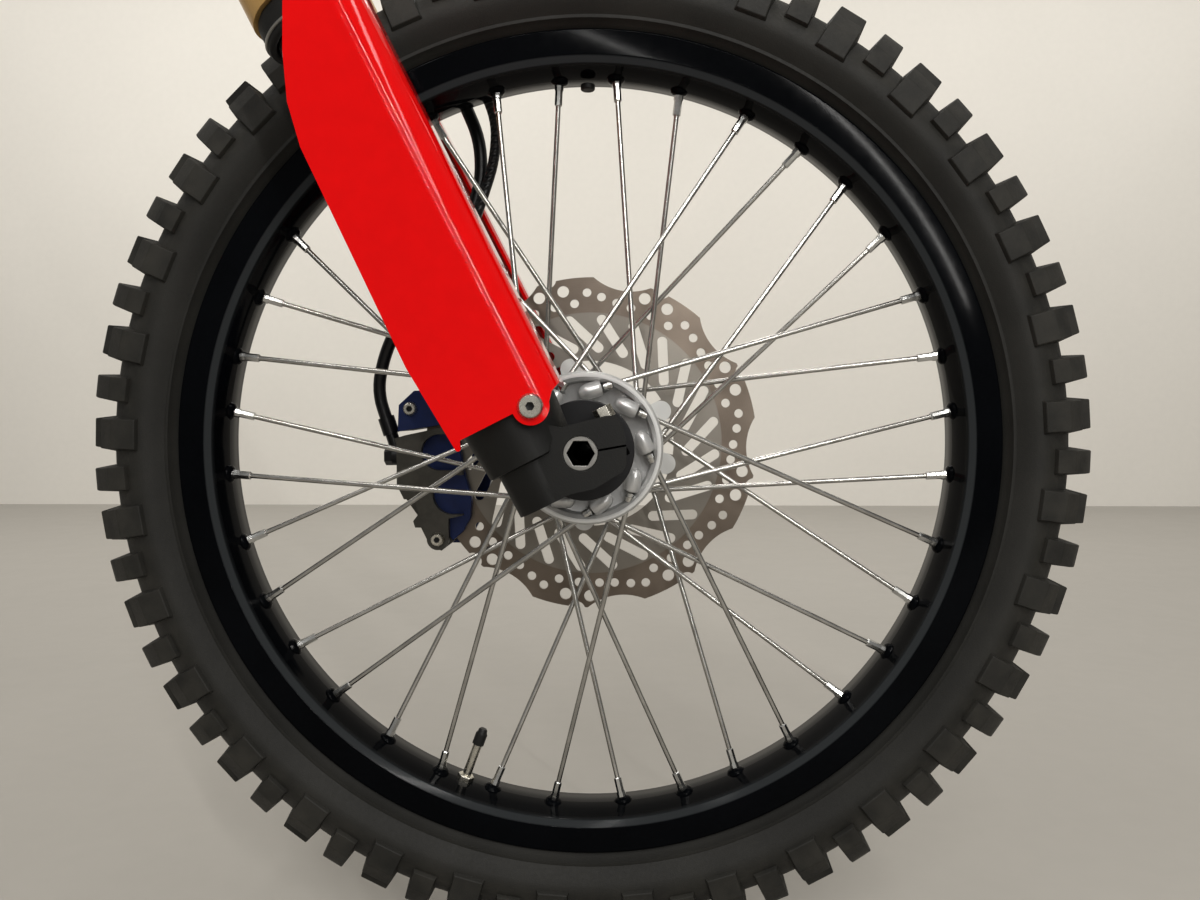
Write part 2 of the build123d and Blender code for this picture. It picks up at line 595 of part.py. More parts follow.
# Guard in the leg's side view: ahead of the leg axis, up the leg
GUARD_OUTLINE = (
    (4.2 - GUARD_FLAP, 26.0),
    (8.2 - GUARD_FLAP, 36.3),
    (6.0, 36.3),
    (9.0, 28.0),
    (22.0, 28.0),
    (30.0, 38.0),
    (GUARD_R + 5.0, 44.0),
    (GUARD_R + 5.0, GUARD_TOP - 40.0),
    (20.0, GUARD_TOP),
    (12.0, GUARD_TOP),
    (2.0, 303.0),
    (18.4 - GUARD_FLAP, 267.0),
    (8.2 - GUARD_FLAP, 242.0),
    (3.4 - GUARD_FLAP, 217.0),
    (-GUARD_FLAP, 85.0),
)
for name, side in SIDES:
    with BuildPart() as foot:
        with BuildSketch(foot_plane(side)):
            Polygon(*BARREL, align=None)
        revolve(axis=Axis(leg_plane(side).origin, UP))
        with BuildSketch(foot_plane(side, LUG_WIDTH / 2)):
            Polygon(*AXLE_CLAMP, align=None)
        extrude(amount=LUG_WIDTH)
        if side > 0:
            with BuildSketch(across_plane(EAR_OUT_Y)):
                Polygon(*BRACKET_EAR, align=None)
            extrude(amount=EAR_THICK)
            with BuildSketch(across_plane(EAR_OUT_Y)):
                with Locations(*CALIPER_BOLTS):
                    Circle(CALIPER_BOLT_R + FIT_GAP)
            extrude(amount=EAR_THICK, mode=Mode.SUBTRACT)
        with BuildSketch(foot_plane(side, max(side * GUARD_BOSS_REACH, 0.0))):
            with Locations(GUARD_BOLT):
                Circle(GUARD_BOLT_R + 3.5)
        extrude(amount=GUARD_BOSS_REACH)
        with BuildSketch(foot_plane(side, max(side * GUARD_R, side * (GUARD_R - GUARD_BOLT_BORE)))):
            with Locations(GUARD_BOLT):
                Circle(GUARD_BOLT_R + FIT_GAP)
        extrude(amount=GUARD_BOLT_BORE, mode=Mode.SUBTRACT)
        with BuildSketch(leg_plane(side, INNER_TUBE_FOOT)):
            Circle(INNER_TUBE_R + FIT_GAP)
        extrude(amount=FOOT_TOP, mode=Mode.SUBTRACT)
        with BuildSketch(across_plane(side * LEG_Y + LUG_WIDTH / 2)):
            Circle(AXLE_R + FIT_GAP)
            Rectangle(
                2 * LUG_WIDTH,
                AXLE_SLIT,
                rotation=RAKE - AXLE_SLIT_DIP,
                align=(Align.MIN, Align.CENTER),
            )
        extrude(amount=LUG_WIDTH, mode=Mode.SUBTRACT)
        for face_y in (side * LEG_Y + LUG_WIDTH / 2 + SPOT_DEPTH, side * LEG_Y - LUG_WIDTH / 2):
            with BuildSketch(across_plane(face_y)):
                Circle(SPACER_R + 2.0)
            extrude(amount=SPOT_DEPTH, mode=Mode.SUBTRACT)
        for height, radius in (
            (CLAMP_BOLT_FOOT, CLAMP_BOLT_R + FIT_GAP),
            (CLAMP_BOLT_SEAT, SEAT_BORE_R),
        ):
            with BuildSketch(leg_plane(side, height)):
                with Locations(*CLAMP_BOLTS):
                    Circle(radius)
            extrude(amount=LUG_WIDTH, mode=Mode.SUBTRACT)
    keep(foot.part, f"fork_foot_{name}")

    with BuildPart() as inner_tube:
        with BuildSketch(leg_plane(side, INNER_TUBE_FOOT + SEAT_GAP)):
            Circle(INNER_TUBE_R)
            Circle(INNER_TUBE_R - INNER_TUBE_WALL, mode=Mode.SUBTRACT)
        extrude(amount=INNER_TUBE_TOP - INNER_TUBE_FOOT)
    keep(inner_tube.part, f"inner_tube_{name}")

    with BuildPart() as outer_tube:
        with BuildSketch(leg_plane(side, OUTER_TUBE_FOOT)):
            Circle(OUTER_TUBE_R)
            Circle(OUTER_TUBE_R - OUTER_TUBE_WALL, mode=Mode.SUBTRACT)
        extrude(amount=OUTER_TUBE_TOP - OUTER_TUBE_FOOT)
        with BuildSketch(leg_plane(side, OUTER_TUBE_FOOT)):
            Circle(COLLAR_R)
            Circle(INNER_TUBE_R + SEAT_GAP, mode=Mode.SUBTRACT)
        extrude(amount=COLLAR_LENGTH)
    keep(outer_tube.part, f"outer_tube_{name}")

    with BuildPart() as dust_seal:
        with BuildSketch(leg_plane(side, OUTER_TUBE_FOOT - SEAL_HEIGHT)):
            Circle(SEAL_R)
            Circle(INNER_TUBE_R + SEAT_GAP, mode=Mode.SUBTRACT)
        extrude(amount=SEAL_HEIGHT)
    keep(dust_seal.part, f"dust_seal_{name}")

    with BuildPart() as fork_cap:
        with BuildSketch(leg_plane(side, OUTER_TUBE_TOP)):
            Circle(OUTER_TUBE_R - 1.0)
        extrude(amount=3.0)
        with BuildSketch(leg_plane(side, OUTER_TUBE_TOP + 3.0)):
            RegularPolygon(OUTER_TUBE_R - 6.0, 6)
        extrude(amount=CAP_HEIGHT - 3.0)
        with BuildSketch(leg_plane(side, OUTER_TUBE_TOP + CAP_HEIGHT)):
            Circle(ADJUSTER_R)
        extrude(amount=ADJUSTER_HEIGHT)
    keep(fork_cap.part, f"fork_cap_{name}")

    # Guard: thin shell round the front of the leg with a flap along its outer side
    with BuildPart() as guard:
        with BuildSketch(leg_plane(side, 20.0)):
            for wall, mode in ((0.0, Mode.ADD), (GUARD_WALL, Mode.SUBTRACT)):
                reach = GUARD_R - wall
                with BuildLine():
                    FilletPolyline(
                        (-GUARD_FLAP - wall, side * reach),
                        (reach, side * reach),
                        (reach, -side * reach),
                        (-GUARD_FLAP - wall, -side * reach),
                        radius=GUARD_CORNER_R - wall,
                    )
                    Line((-GUARD_FLAP - wall, -side * reach), (-GUARD_FLAP - wall, side * reach))
                make_face(mode=mode)
            with Locations((0.0, -side * (GUARD_INNER_REACH + GUARD_R))):
                Rectangle(4 * GUARD_R, 2 * GUARD_R, mode=Mode.SUBTRACT)
        extrude(amount=GUARD_TOP)
        with BuildSketch(foot_plane(side, GUARD_R + 5.0)):
            Polygon(*GUARD_OUTLINE, align=None)
            fillet(vertices(), 1.5)
            with Locations(GUARD_BOLT):
                Circle(GUARD_LOBE_R)
        extrude(amount=2 * GUARD_R + 10.0, mode=Mode.INTERSECT)
        with BuildSketch(foot_plane(side, side * GUARD_R)):
            with Locations(GUARD_BOLT):
                Circle(GUARD_BOLT_R + SEAT_GAP)
        extrude(amount=2 * GUARD_WALL, both=True, mode=Mode.SUBTRACT)
    keep(guard.part, f"guard_{name}")

with BuildPart() as guard_bolts:
    for name, side in SIDES:
        for radius, low, high in (
            (GUARD_BOLT_R, GUARD_R - GUARD_BOLT_REACH, GUARD_R),
            (GUARD_BOLT_HEAD_R, GUARD_R, GUARD_R + GUARD_BOLT_HEAD),
        ):
            with BuildSketch(foot_plane(side, max(side * low, side * high))):
                with Locations(GUARD_BOLT):
                    Circle(radius)
            extrude(amount=high - low)
keep(guard_bolts.part, "guard_bolts")

# Axle clamp bolts, down through the foot's split lip
with BuildPart() as pinch_bolts:
    for name, side in SIDES:
        with BuildSketch(leg_plane(side, CLAMP_BOLT_FOOT)):
            with Locations(*CLAMP_BOLTS):
                Circle(CLAMP_BOLT_R)
        extrude(amount=CLAMP_BOLT_SEAT - CLAMP_BOLT_FOOT)
        with BuildSketch(leg_plane(side, CLAMP_BOLT_SEAT)):
            with Locations(*CLAMP_BOLTS):
                RegularPolygon(CLAMP_BOLT_R + 2.8, 6)
        extrude(amount=CLAMP_BOLT_HEAD)
keep(pinch_bolts.part, "pinch_bolts")

# Sliding caliper over the disc's rear edge. Outlines from the disc's rear edge: forward, up
FINGER_OUTLINE = edge(
    (-21.7, 4),
    (-13, 6.7),
    (31, 16),
    (31, -55.5),
    (20, -58),
    (20, -74),
    (3, -74),
    (-1.3, -65),
    (-6, -65),
    (-7.5, -60),
    (-3, -54),
    (-7, -43),
    (-14.5, -43),
    (-20, -32),
    (-20, 0),
)
BODY_OUTLINE = edge(
    (-20, 4),
    (20, 13),
    (26, -16),
    (33, -42),
    (32, -60),
    (26, -74),
    (13, -84),
    (3, -79),
    (0, -64),
    (-14, -44),
    (-20, -30),
)
# Openings that show the pad: centre, radius
FINGER_OPENINGS = ((edge((13, -6.6))[0], 14.0), (edge((23, -39.5))[0], 15.3))
PAD_OUTLINE = edge(
    (-5, 4),
    (26, 11),
    (30, -18),
    (37, -42),
    (36, -58),
    (30, -69),
    (22, -76),
    (6, -66),
    (-3, -40),
)
BRACKET_ARM = edge((-19, 9.5), (-18, 30), (-6, 41), (34, 42), (38, 20), (10, 14))
BRACKET_PLATE = edge(
    (-20, 16),
    (-17, 34),
    (-2, 42),
    (36, 50),
    (44, 44),
    (57.5, 12),
    (57.5, -2),
    (46, -30),
    (38, -62),
    (26, -84),
    (8, -84),
    (2, -72),
    (14, -62),
    (28, -52),
    (31, -20),
    (26, 14),
    (0, 14),
)
SLIDE_PINS = edge((-9, 27), (11.5, -74))
PISTON_BOSSES = edge((9, -7), (12, -38))
PORT_X, PORT_Z = edge((-26.8, -10.9))[0]
PORT = AXLE + Vector(PORT_X, (CALIPER_OUT_Y + PAD_OUT_Y) / 2 - 5.0, PORT_Z)
EYE_FRONT = PORT + Vector(BANJO_EYE_WIDTH / 2, 0, 0)
with BuildPart() as caliper:
    with BuildSketch(across_plane(CALIPER_IN_Y + FINGER_THICK)):
        Polygon(*FINGER_OUTLINE, align=None)
        for (x, z), radius in FINGER_OPENINGS:
            SlotCenterPoint((x + 30, z), (x, z), 2 * radius, mode=Mode.SUBTRACT)
        with Locations(SLIDE_PINS[1]):
            Circle(2 * SLIDE_PIN_R + 0.5)
            Circle(SLIDE_PIN_R + FIT_GAP, mode=Mode.SUBTRACT)
    extrude(amount=FINGER_THICK)
    with BuildSketch(across_plane(PAD_OUT_Y)):
        Polygon(*BODY_OUTLINE, align=None)
        Circle(DISC_R + TURN_GAP, mode=Mode.SUBTRACT)
        with Locations(SLIDE_PINS[1]):
            Circle(SLIDE_PIN_R + 2.0, mode=Mode.SUBTRACT)
    extrude(amount=PAD_OUT_Y - CALIPER_IN_Y - FINGER_THICK)
    with BuildSketch(across_plane(CALIPER_OUT_Y)):
        Polygon(*BODY_OUTLINE, align=None)
        fillet(vertices(), 3.0)
        with Locations(SLIDE_PINS[1]):
            Circle(SLIDE_PIN_R + FIT_GAP, mode=Mode.SUBTRACT)
    extrude(amount=CALIPER_OUT_Y - PAD_OUT_Y)
    with BuildSketch(across_plane(CALIPER_OUT_Y + PISTON_BOSS_HEIGHT)):
        with Locations(*PISTON_BOSSES):
            Circle(PISTON_BOSS_R)
    extrude(amount=PISTON_BOSS_HEIGHT)
    with BuildSketch(Plane(EYE_FRONT, z_dir=(1, 0, 0))):
        Circle(HOSE_PORT_R)
    extrude(amount=HOSE_PORT_R)
keep(caliper.part, "caliper")

with BuildPart() as pads:
    for high_y in (DISC_FACE_Y - PAD_GAP, PAD_OUT_Y):
        with BuildSketch(across_plane(high_y)):
            Polygon(*PAD_OUTLINE, align=None)
            Circle(DISC_R + 2.0, mode=Mode.INTERSECT)
        extrude(amount=PAD_THICK)
keep(pads.part, "brake_pads")

# Bracket: plate outside the caliper and an arm over the disc's edge
ARM_IN_Y = DISC_FACE_Y - TURN_GAP
PIN_DEPTH = 20.0
with BuildPart() as bracket:
    with BuildSketch(across_plane(BRACKET_OUT_Y)):
        Polygon(*BRACKET_PLATE, align=None)
        with Locations(*CALIPER_BOLTS):
            Circle(CALIPER_BOLT_R + FIT_GAP, mode=Mode.SUBTRACT)
        with Locations(SLIDE_PINS[1]):
            Circle(SLIDE_PIN_R + FIT_GAP, mode=Mode.SUBTRACT)
    extrude(amount=BRACKET_THICK)
    with BuildSketch(across_plane(CALIPER_OUT_Y)):
        Polygon(*BRACKET_ARM, align=None)
        Circle(DISC_R + TURN_GAP, mode=Mode.SUBTRACT)
    extrude(amount=CALIPER_OUT_Y - CALIPER_IN_Y)
    with BuildSketch(across_plane(ARM_IN_Y)):
        Polygon(*BRACKET_ARM, align=None)
    extrude(amount=ARM_IN_Y - CALIPER_IN_Y)
    with BuildSketch(across_plane(CALIPER_IN_Y + PIN_DEPTH)):
        with Locations(SLIDE_PINS[0]):
            Circle(SLIDE_PIN_R + FIT_GAP)
    extrude(amount=PIN_DEPTH, mode=Mode.SUBTRACT)
keep(bracket.part, "caliper_bracket")

# Bolts and pins across the brake: place, shank and head radius, inner end, shank end, head
def cross_bolts(bolts, name):
    """Bolts along the wheel's axle line: shank from low to high, head from there to head_end."""
    with BuildPart() as part:
        for place, shank_r, head_r, low, high, head_end in bolts:
            for radius, start, end in ((shank_r, low, high), (head_r, high, head_end)):
                bottom, top = sorted((start, end))
                with BuildSketch(across_plane(top)):
                    with Locations(place):
                        Circle(radius)
                extrude(amount=top - bottom)
    keep(part.part, name)


cross_bolts(
    [
        (place, CALIPER_BOLT_R, CALIPER_BOLT_R + 2.5, CALIPER_OUT_Y, EAR_OUT_Y, EAR_OUT_Y + 6.0)
        for place in CALIPER_BOLTS
    ],
    "caliper_bolts",
)
cross_bolts(
    [
        (place, SLIDE_PIN_R, SLIDE_PIN_HEAD_R, end_y, CALIPER_IN_Y, CALIPER_IN_Y - 4.0)
        for place, end_y in zip(SLIDE_PINS, (CALIPER_IN_Y + PIN_DEPTH, BRACKET_OUT_Y))
    ],
    "caliper_pins",
)

# Brake hose and sensor wire, in the left leg's frame: ahead, to the left, up
LEFT_LEG = leg_plane(1)
SENSOR_X, SENSOR_Z = edge((22, 34))[0]
SENSOR_R = 6.0
SENSOR = AXLE + Vector(SENSOR_X, CALIPER_OUT_Y - 10.5, SENSOR_Z)
CLAMP_FOOT = AXLE_DROP + LOWER_CLAMP_LOW
CLIP_UP = CLAMP_FOOT - 145.0
UNION_BACK = 2.0
UNION_FRONT = 61.0
UNION_BLOCK_BACK = 34.0
UNION_INNER = -73.0
HOSE_BY_CLIP = (36, -36)
WIRE_BY_CLIP = (49, -40)


def leg_route(fitting, leaving, passing, arriving):
    """Points of a cord: steps from a fitting, places by the leg, places below the clamp."""
    start = LEFT_LEG.to_local_coords(fitting)
    route = [start + Vector(*step) for step in leaving]
    route += [Vector(*place) for place in passing]
    route += [Vector(ahead, left, CLAMP_FOOT - down) for ahead, left, down in arriving]
    return [LEFT_LEG.from_local_coords(place) for place in route]


HOSE_ROUTE = leg_route(
    PORT,
    ((3.4, 0, 21.8), (8.5, 0, 55), (30.1, -3, 80)),
    (
        (-57.2, -30, 159.5),
        (-18.7, -38.5, 178.2),
        (18.1, -38, 195.5),
        (44.1, -39, 220.4),
        (57.6, -40, 249.4),
        (60, -41, 290),
        (54, -40, 330),
        (42, -38, 385),
    ),
    ((*HOSE_BY_CLIP, 196), (*HOSE_BY_CLIP, 96), (40, -39, 49.5), (46, -44, 28.5)),
)
WIRE_ROUTE = leg_route(
    SENSOR,
    ((3.1, -1.5, 12), (8.1, -4.5, 35)),
    (
        (-34, -24, 138),
        (-16, -37, 160),
        (8, -45, 178),
        (38.7, -49, 205.2),
        (60.4, -50, 226.7),
        (75, -50, 252),
        (78, -49, 285),
        (74, -47, 325),
        (60, -43, 383),
    ),
    ((*WIRE_BY_CLIP, 196), (*WIRE_BY_CLIP, 96), (50, -48, 51), (50, -58, 28.5)),
)


def cord(points, radius, name):
    """A round cord with an arc as large as its runs allow at every corner."""
    bends = []
    for before, corner, after in zip(points, points[1:], points[2:]):
        run_in = corner - before
        run_out = after - corner
        half_turn = radians(run_in.get_angle(run_out) / 2)
        bends.append(BEND_SHARE * min(run_in.length, run_out.length) / tan(half_turn))
    with BuildPart() as part:
        with BuildLine() as path:
            FilletPolyline(*points, radius=bends)
        with BuildSketch(Plane(points[0], z_dir=points[1] - points[0])):
            Circle(radius)
        sweep()
    length = path.wire().length
    print(name, "bends", [round(bend) for bend in bends], "length", round(length))
    print(name, "volume share", round(part.part.volume / (pi * radius**2 * length), 4))
    keep(part.part, name)


cord(HOSE_ROUTE, HOSE_R, "brake_hose")
cord(WIRE_ROUTE, WIRE_R, "sensor_wire")


def ferrule(end, inside, cord_r, neck):
    """Sleeve over a cord's end, with a shoulder and a neck beyond the cord."""
    out = (end - inside).normalized()
    with BuildPart() as fitting:
        for radius, amount in ((cord_r + FERRULE_WALL, 2 * FERRULE_WALL), (cord_r, neck)):
            with BuildSketch(Plane(end, z_dir=out)):
                Circle(radius)
            extrude(amount=amount)
        with BuildSketch(Plane(end, z_dir=-out)):
            Circle(cord_r + FERRULE_WALL)
            Circle(cord_r + FIT_GAP, mode=Mode.SUBTRACT)
        extrude(amount=FERRULE_LENGTH)
    return fitting.part


# Banjo eye on the caliper with its bolt, and the union under the lower clamp
with BuildPart() as hose_fittings:
    with BuildSketch(Plane(EYE_FRONT, z_dir=(-1, 0, 0))):
        Circle(BANJO_EYE_R)
        Circle(BANJO_BOLT_R + FIT_GAP, mode=Mode.SUBTRACT)
    extrude(amount=BANJO_EYE_WIDTH)
    add(ferrule(HOSE_ROUTE[0], HOSE_ROUTE[1], HOSE_R, (HOSE_ROUTE[0] - PORT).length - 6.0))
    for width, low, back in (
        (UNION_WIDTH, CLAMP_FOOT - UNION_THICK, UNION_BLOCK_BACK),
        (UNION_WIDTH, CLAMP_FOOT - UNION_PLATE, UNION_BACK),
    ):
        with BuildSketch(leg_plane(1, low)):
            with Locations((back, UNION_INNER)):
                Rectangle(UNION_FRONT - back, width, align=(Align.MIN, Align.MIN))
        extrude(amount=CLAMP_FOOT - low)
    add(ferrule(HOSE_ROUTE[-1], HOSE_ROUTE[-2], HOSE_R, 16.0))
    add(ferrule(WIRE_ROUTE[-1], WIRE_ROUTE[-2], WIRE_R, 16.0))
    with BuildSketch(Plane(EYE_FRONT, z_dir=(-1, 0, 0))):
        Circle(BANJO_BOLT_R)
    extrude(amount=BANJO_EYE_WIDTH)
    with BuildSketch(Plane(EYE_FRONT - Vector(BANJO_EYE_WIDTH, 0, 0), z_dir=(-1, 0, 0))):
        RegularPolygon(BANJO_EYE_R, 6)
    extrude(amount=BANJO_HEAD_HEIGHT)
keep(hose_fittings.part, "hose_fittings")

# Speed sensor on the bracket, reading the disc's holes
with BuildPart() as speed_sensor:
    with BuildSketch(across_plane(CALIPER_OUT_Y)):
        with Locations((SENSOR_X, SENSOR_Z)):
            Circle(SENSOR_R)
    extrude(amount=CALIPER_OUT_Y - DISC_BACK_Y - TURN_GAP)
    add(ferrule(WIRE_ROUTE[0], WIRE_ROUTE[1], WIRE_R, 10.0))
keep(speed_sensor.part, "speed_sensor")

# Clip that holds hose and wire to the left outer tube
with BuildPart() as hose_clip:
    with BuildSketch(leg_plane(1, CLIP_UP)):
        with BuildLine():
            CenterArc(HOSE_BY_CLIP, HOSE_R + CLIP_WALL, 0, 360)
            CenterArc(WIRE_BY_CLIP, WIRE_R + CLIP_WALL, 0, 360)
            CenterArc((16, -16), 8.0, 0, 360)
        make_hull()
        Circle(OUTER_TUBE_R + 1.5 * CLIP_WALL)
        Circle(OUTER_TUBE_R + FIT_GAP, mode=Mode.SUBTRACT)
        for place, radius in ((HOSE_BY_CLIP, HOSE_R), (WIRE_BY_CLIP, WIRE_R)):
            with Locations(place):
                Circle(radius + FIT_GAP, mode=Mode.SUBTRACT)
    extrude(amount=CLIP_HEIGHT)
keep(hose_clip.part, "hose_clip")

# Steering stem, with a shoulder under the bearing seat
with BuildPart() as stem:
    for low, high, radius in (
        (LOWER_CLAMP_LOW, LOWER_CLAMP_TOP, STEM_FOOT_R),
        (LOWER_CLAMP_TOP, LOWER_CLAMP_TOP + STEM_SHOULDER, STEM_SHOULDER_R),
        (LOWER_CLAMP_TOP + STEM_SHOULDER, BEARING_SEAT_LENGTH / 2, BEARING_SEAT_R),
        (BEARING_SEAT_LENGTH / 2, STEM_TOP, STEM_R),
    ):
        with BuildSketch(stem_plane(low)):
            Circle(radius)
        extrude(amount=high - low)
    with BuildSketch(stem_plane(LOWER_CLAMP_LOW)):
        Circle(STEM_BORE_R)
    extrude(amount=STEM_TOP - LOWER_CLAMP_LOW, mode=Mode.SUBTRACT)
keep(stem.part, "stem")

# Clamps: lower edge, thickness, stem radius, heights of the pinch bolts as shares of it
CLAMPS = (
    ("lower_clamp", LOWER_CLAMP_LOW, LOWER_CLAMP_THICK, STEM_FOOT_R, (0.25, 0.75)),
    ("upper_clamp", UPPER_CLAMP_LOW, UPPER_CLAMP_THICK, STEM_R, (0.5,)),
)
EAR_BACK = CLAMP_OFFSET - CLAMP_RING_R - CLAMP_EAR
EAR_BOLT_R = 3.5


def ear_bolts(low, thick, shares, radius, start, end):
    """Rods through the clamp ears, from start to end outwards from each leg's middle."""
    with BuildPart() as rods:
        for leg_y, out in ((LEG_Y, 1), (-LEG_Y, -1)):
            bottom, top = sorted((leg_y + out * start, leg_y + out * end))
            with BuildSketch(across_plane(top, Vector(0, 0, 0), AHEAD)):
                with Locations(*[(EAR_BACK + CLAMP_EAR / 2, low + thick * share) for share in shares]):
                    Circle(radius)
            extrude(amount=top - bottom)
    return rods.part


for name, low, thick, stem_r, shares in CLAMPS:
    with BuildPart() as clamp:
        with BuildSketch(stem_plane(low)):
            with BuildLine():
                for leg_y in (LEG_Y, -LEG_Y):
                    CenterArc((CLAMP_OFFSET, leg_y), CLAMP_RING_R, 0, 360)
                CenterArc((0, 0), CLAMP_NECK_R, 0, 360)
            make_hull()
        extrude(amount=thick)
        ends = clamp.faces().sort_by(Axis((0, 0, 0), UP))
        chamfer([ends[0].outer_wire().edges(), ends[-1].outer_wire().edges()], 2.0)
        with BuildSketch(stem_plane(low + 3.0)):
            with Locations((EAR_BACK, LEG_Y), (EAR_BACK, -LEG_Y)):
                Rectangle(2 * CLAMP_EAR, CLAMP_EAR_WIDTH, align=(Align.MIN, Align.CENTER))
        extrude(amount=thick - 6.0)
        with BuildSketch(stem_plane(low)):
            with Locations((CLAMP_OFFSET, LEG_Y), (CLAMP_OFFSET, -LEG_Y)):
                Circle(OUTER_TUBE_R + FIT_GAP)
                Rectangle(2 * CLAMP_RING_R, CLAMP_SLIT, align=(Align.MAX, Align.CENTER))
            Circle(stem_r + FIT_GAP)
            if name == "upper_clamp":
                with Locations(*[(BAR_HOLE_AHEAD, across * BAR_HOLE_SPACING / 2) for across in (-1, 1)]):
                    Circle(BAR_HOLE_R)
        extrude(amount=thick, mode=Mode.SUBTRACT)
        half = CLAMP_EAR_WIDTH / 2
        add(ear_bolts(low, thick, shares, EAR_BOLT_R + FIT_GAP, -half, half), mode=Mode.SUBTRACT)
    keep(clamp.part, name)

with BuildPart() as clamp_bolts:
    for name, low, thick, stem_r, shares in CLAMPS:
        add(ear_bolts(low, thick, shares, EAR_BOLT_R, -CLAMP_EAR_WIDTH / 2, CLAMP_EAR_WIDTH / 2))
        add(ear_bolts(low, thick, shares, EAR_BOLT_R + 2.0, CLAMP_EAR_WIDTH / 2, CLAMP_EAR_WIDTH / 2 + 6.0))
keep(clamp_bolts.part, "clamp_bolts")

with BuildPart() as stem_nut:
    with BuildSketch(stem_plane(UPPER_CLAMP_LOW + UPPER_CLAMP_THICK)):
        RegularPolygon(STEM_NUT_R, 6)
        Circle(STEM_R + FIT_GAP, mode=Mode.SUBTRACT)
    extrude(amount=STEM_NUT_HEIGHT)
keep(stem_nut.part, "stem_nut")
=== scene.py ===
"""Looks for a motorcycle's front wheel and fork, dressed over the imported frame.

Metres, in the frame's own axes: +X forward, +Y to the rider's left, +Z up.
"""

import json
import logging
import math
from dataclasses import dataclass
from enum import Enum
from typing import Any, Callable, Iterable, Optional, Sequence, Union

import bmesh
import bpy
from bmesh.types import BMesh, BMEdge, BMFace, BMVert
from mathutils import Matrix, Vector


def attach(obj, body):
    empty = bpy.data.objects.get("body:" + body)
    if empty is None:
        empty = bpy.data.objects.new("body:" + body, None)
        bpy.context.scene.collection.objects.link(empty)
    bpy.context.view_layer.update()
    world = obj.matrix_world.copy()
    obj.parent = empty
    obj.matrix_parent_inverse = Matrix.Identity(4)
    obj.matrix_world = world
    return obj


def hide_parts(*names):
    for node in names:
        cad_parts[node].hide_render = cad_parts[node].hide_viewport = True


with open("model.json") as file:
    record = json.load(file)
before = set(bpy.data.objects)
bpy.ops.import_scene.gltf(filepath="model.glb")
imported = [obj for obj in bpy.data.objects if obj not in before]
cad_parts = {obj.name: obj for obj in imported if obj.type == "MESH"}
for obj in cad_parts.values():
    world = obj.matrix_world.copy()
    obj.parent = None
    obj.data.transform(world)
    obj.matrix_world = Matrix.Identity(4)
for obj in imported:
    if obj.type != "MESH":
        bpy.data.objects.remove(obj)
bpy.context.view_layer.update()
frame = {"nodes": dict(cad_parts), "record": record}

log = logging.getLogger("front_end")

Colour = tuple[float, float, float]
Point = tuple[float, float]

RECORD = frame["record"]
AXLE = Vector(RECORD["behaviour"]["joints"][0]["pos_m"])
MOUNTS = {mount["name"]: mount for mount in RECORD["mounts"]}
UP_LEG = Vector(MOUNTS["stem_lower_bearing"]["axis"]).normalized()
FORWARD = Vector((1.0, 0.0, 0.0))
LEFT = Vector((0.0, 1.0, 0.0))
UP = Vector((0.0, 0.0, 1.0))
AHEAD = LEFT.cross(UP_LEG).normalized()
MM = 0.001

# Lengths under which two points are one, on a new mesh and on a node's own mesh
HAIR = 1e-6
NODE_HAIR = 2e-6
# Distance from the middle plane under which a point lies on it
ON_MIDDLE = 1e-7
# Folds in degrees under which two faces are one flat face, or an edge is shaded smooth
FLAT_FOLD = 0.6
SMOOTH_FOLD = 35.0


class Body(Enum):
    """The two bodies that pieces ride on."""

    FORK = "fork"
    WHEEL = "wheel"


class Grain(Enum):
    """How the fine pattern of a surface runs."""

    SAND = "even in every direction"
    TURNED = "rings about the axle"
    DRAWN = "lines along the fork legs"


class Side(Enum):
    """Right and left of the machine, with the sign of Y."""

    RIGHT = -1
    LEFT = 1

    @property
    def word(self) -> str:
        """The word that ends the names of this side's nodes."""
        return self.name.lower()


class Value:
    """A number socket that takes part in ordinary arithmetic."""

    def __init__(self, graph: "Graph", socket: bpy.types.NodeSocket) -> None:
        """Wrap a socket of a graph."""
        self.graph = graph
        self.socket = socket

    def _math(self, operation: str, *operands: Union["Value", float]) -> "Value":
        """Add one Math node to the graph and return its result."""
        node = self.graph.node("ShaderNodeMath", {"operation": operation}, dict(enumerate(operands)))
        return Value(self.graph, node.outputs[0])

    def __add__(self, other: Union["Value", float]) -> "Value":
        """self + other."""
        return self._math("ADD", self, other)

    def __mul__(self, other: Union["Value", float]) -> "Value":
        """self * other."""
        return self._math("MULTIPLY", self, other)

    def __pow__(self, other: float) -> "Value":
        """self ** other."""
        return self._math("POWER", self, other)

    def sine(self) -> "Value":
        """Sine of the value."""
        return self._math("SINE", self)

    def ramp(self, low: float, high: float) -> "Value":
        """Smooth step from 0 at low to 1 at high, which may be the smaller of the two."""
        inputs = {"Value": self, "From Min": low, "From Max": high}
        settings = {"interpolation_type": "SMOOTHSTEP"}
        node = self.graph.node("ShaderNodeMapRange", settings, inputs)
        return Value(self.graph, node.outputs["Result"])

    def band(self, low: float, high: float, soft: float) -> "Value":
        """1 between low and high and 0 outside, with soft edges."""
        return self.ramp(low - soft, low + soft) * self.ramp(high + soft, high - soft)


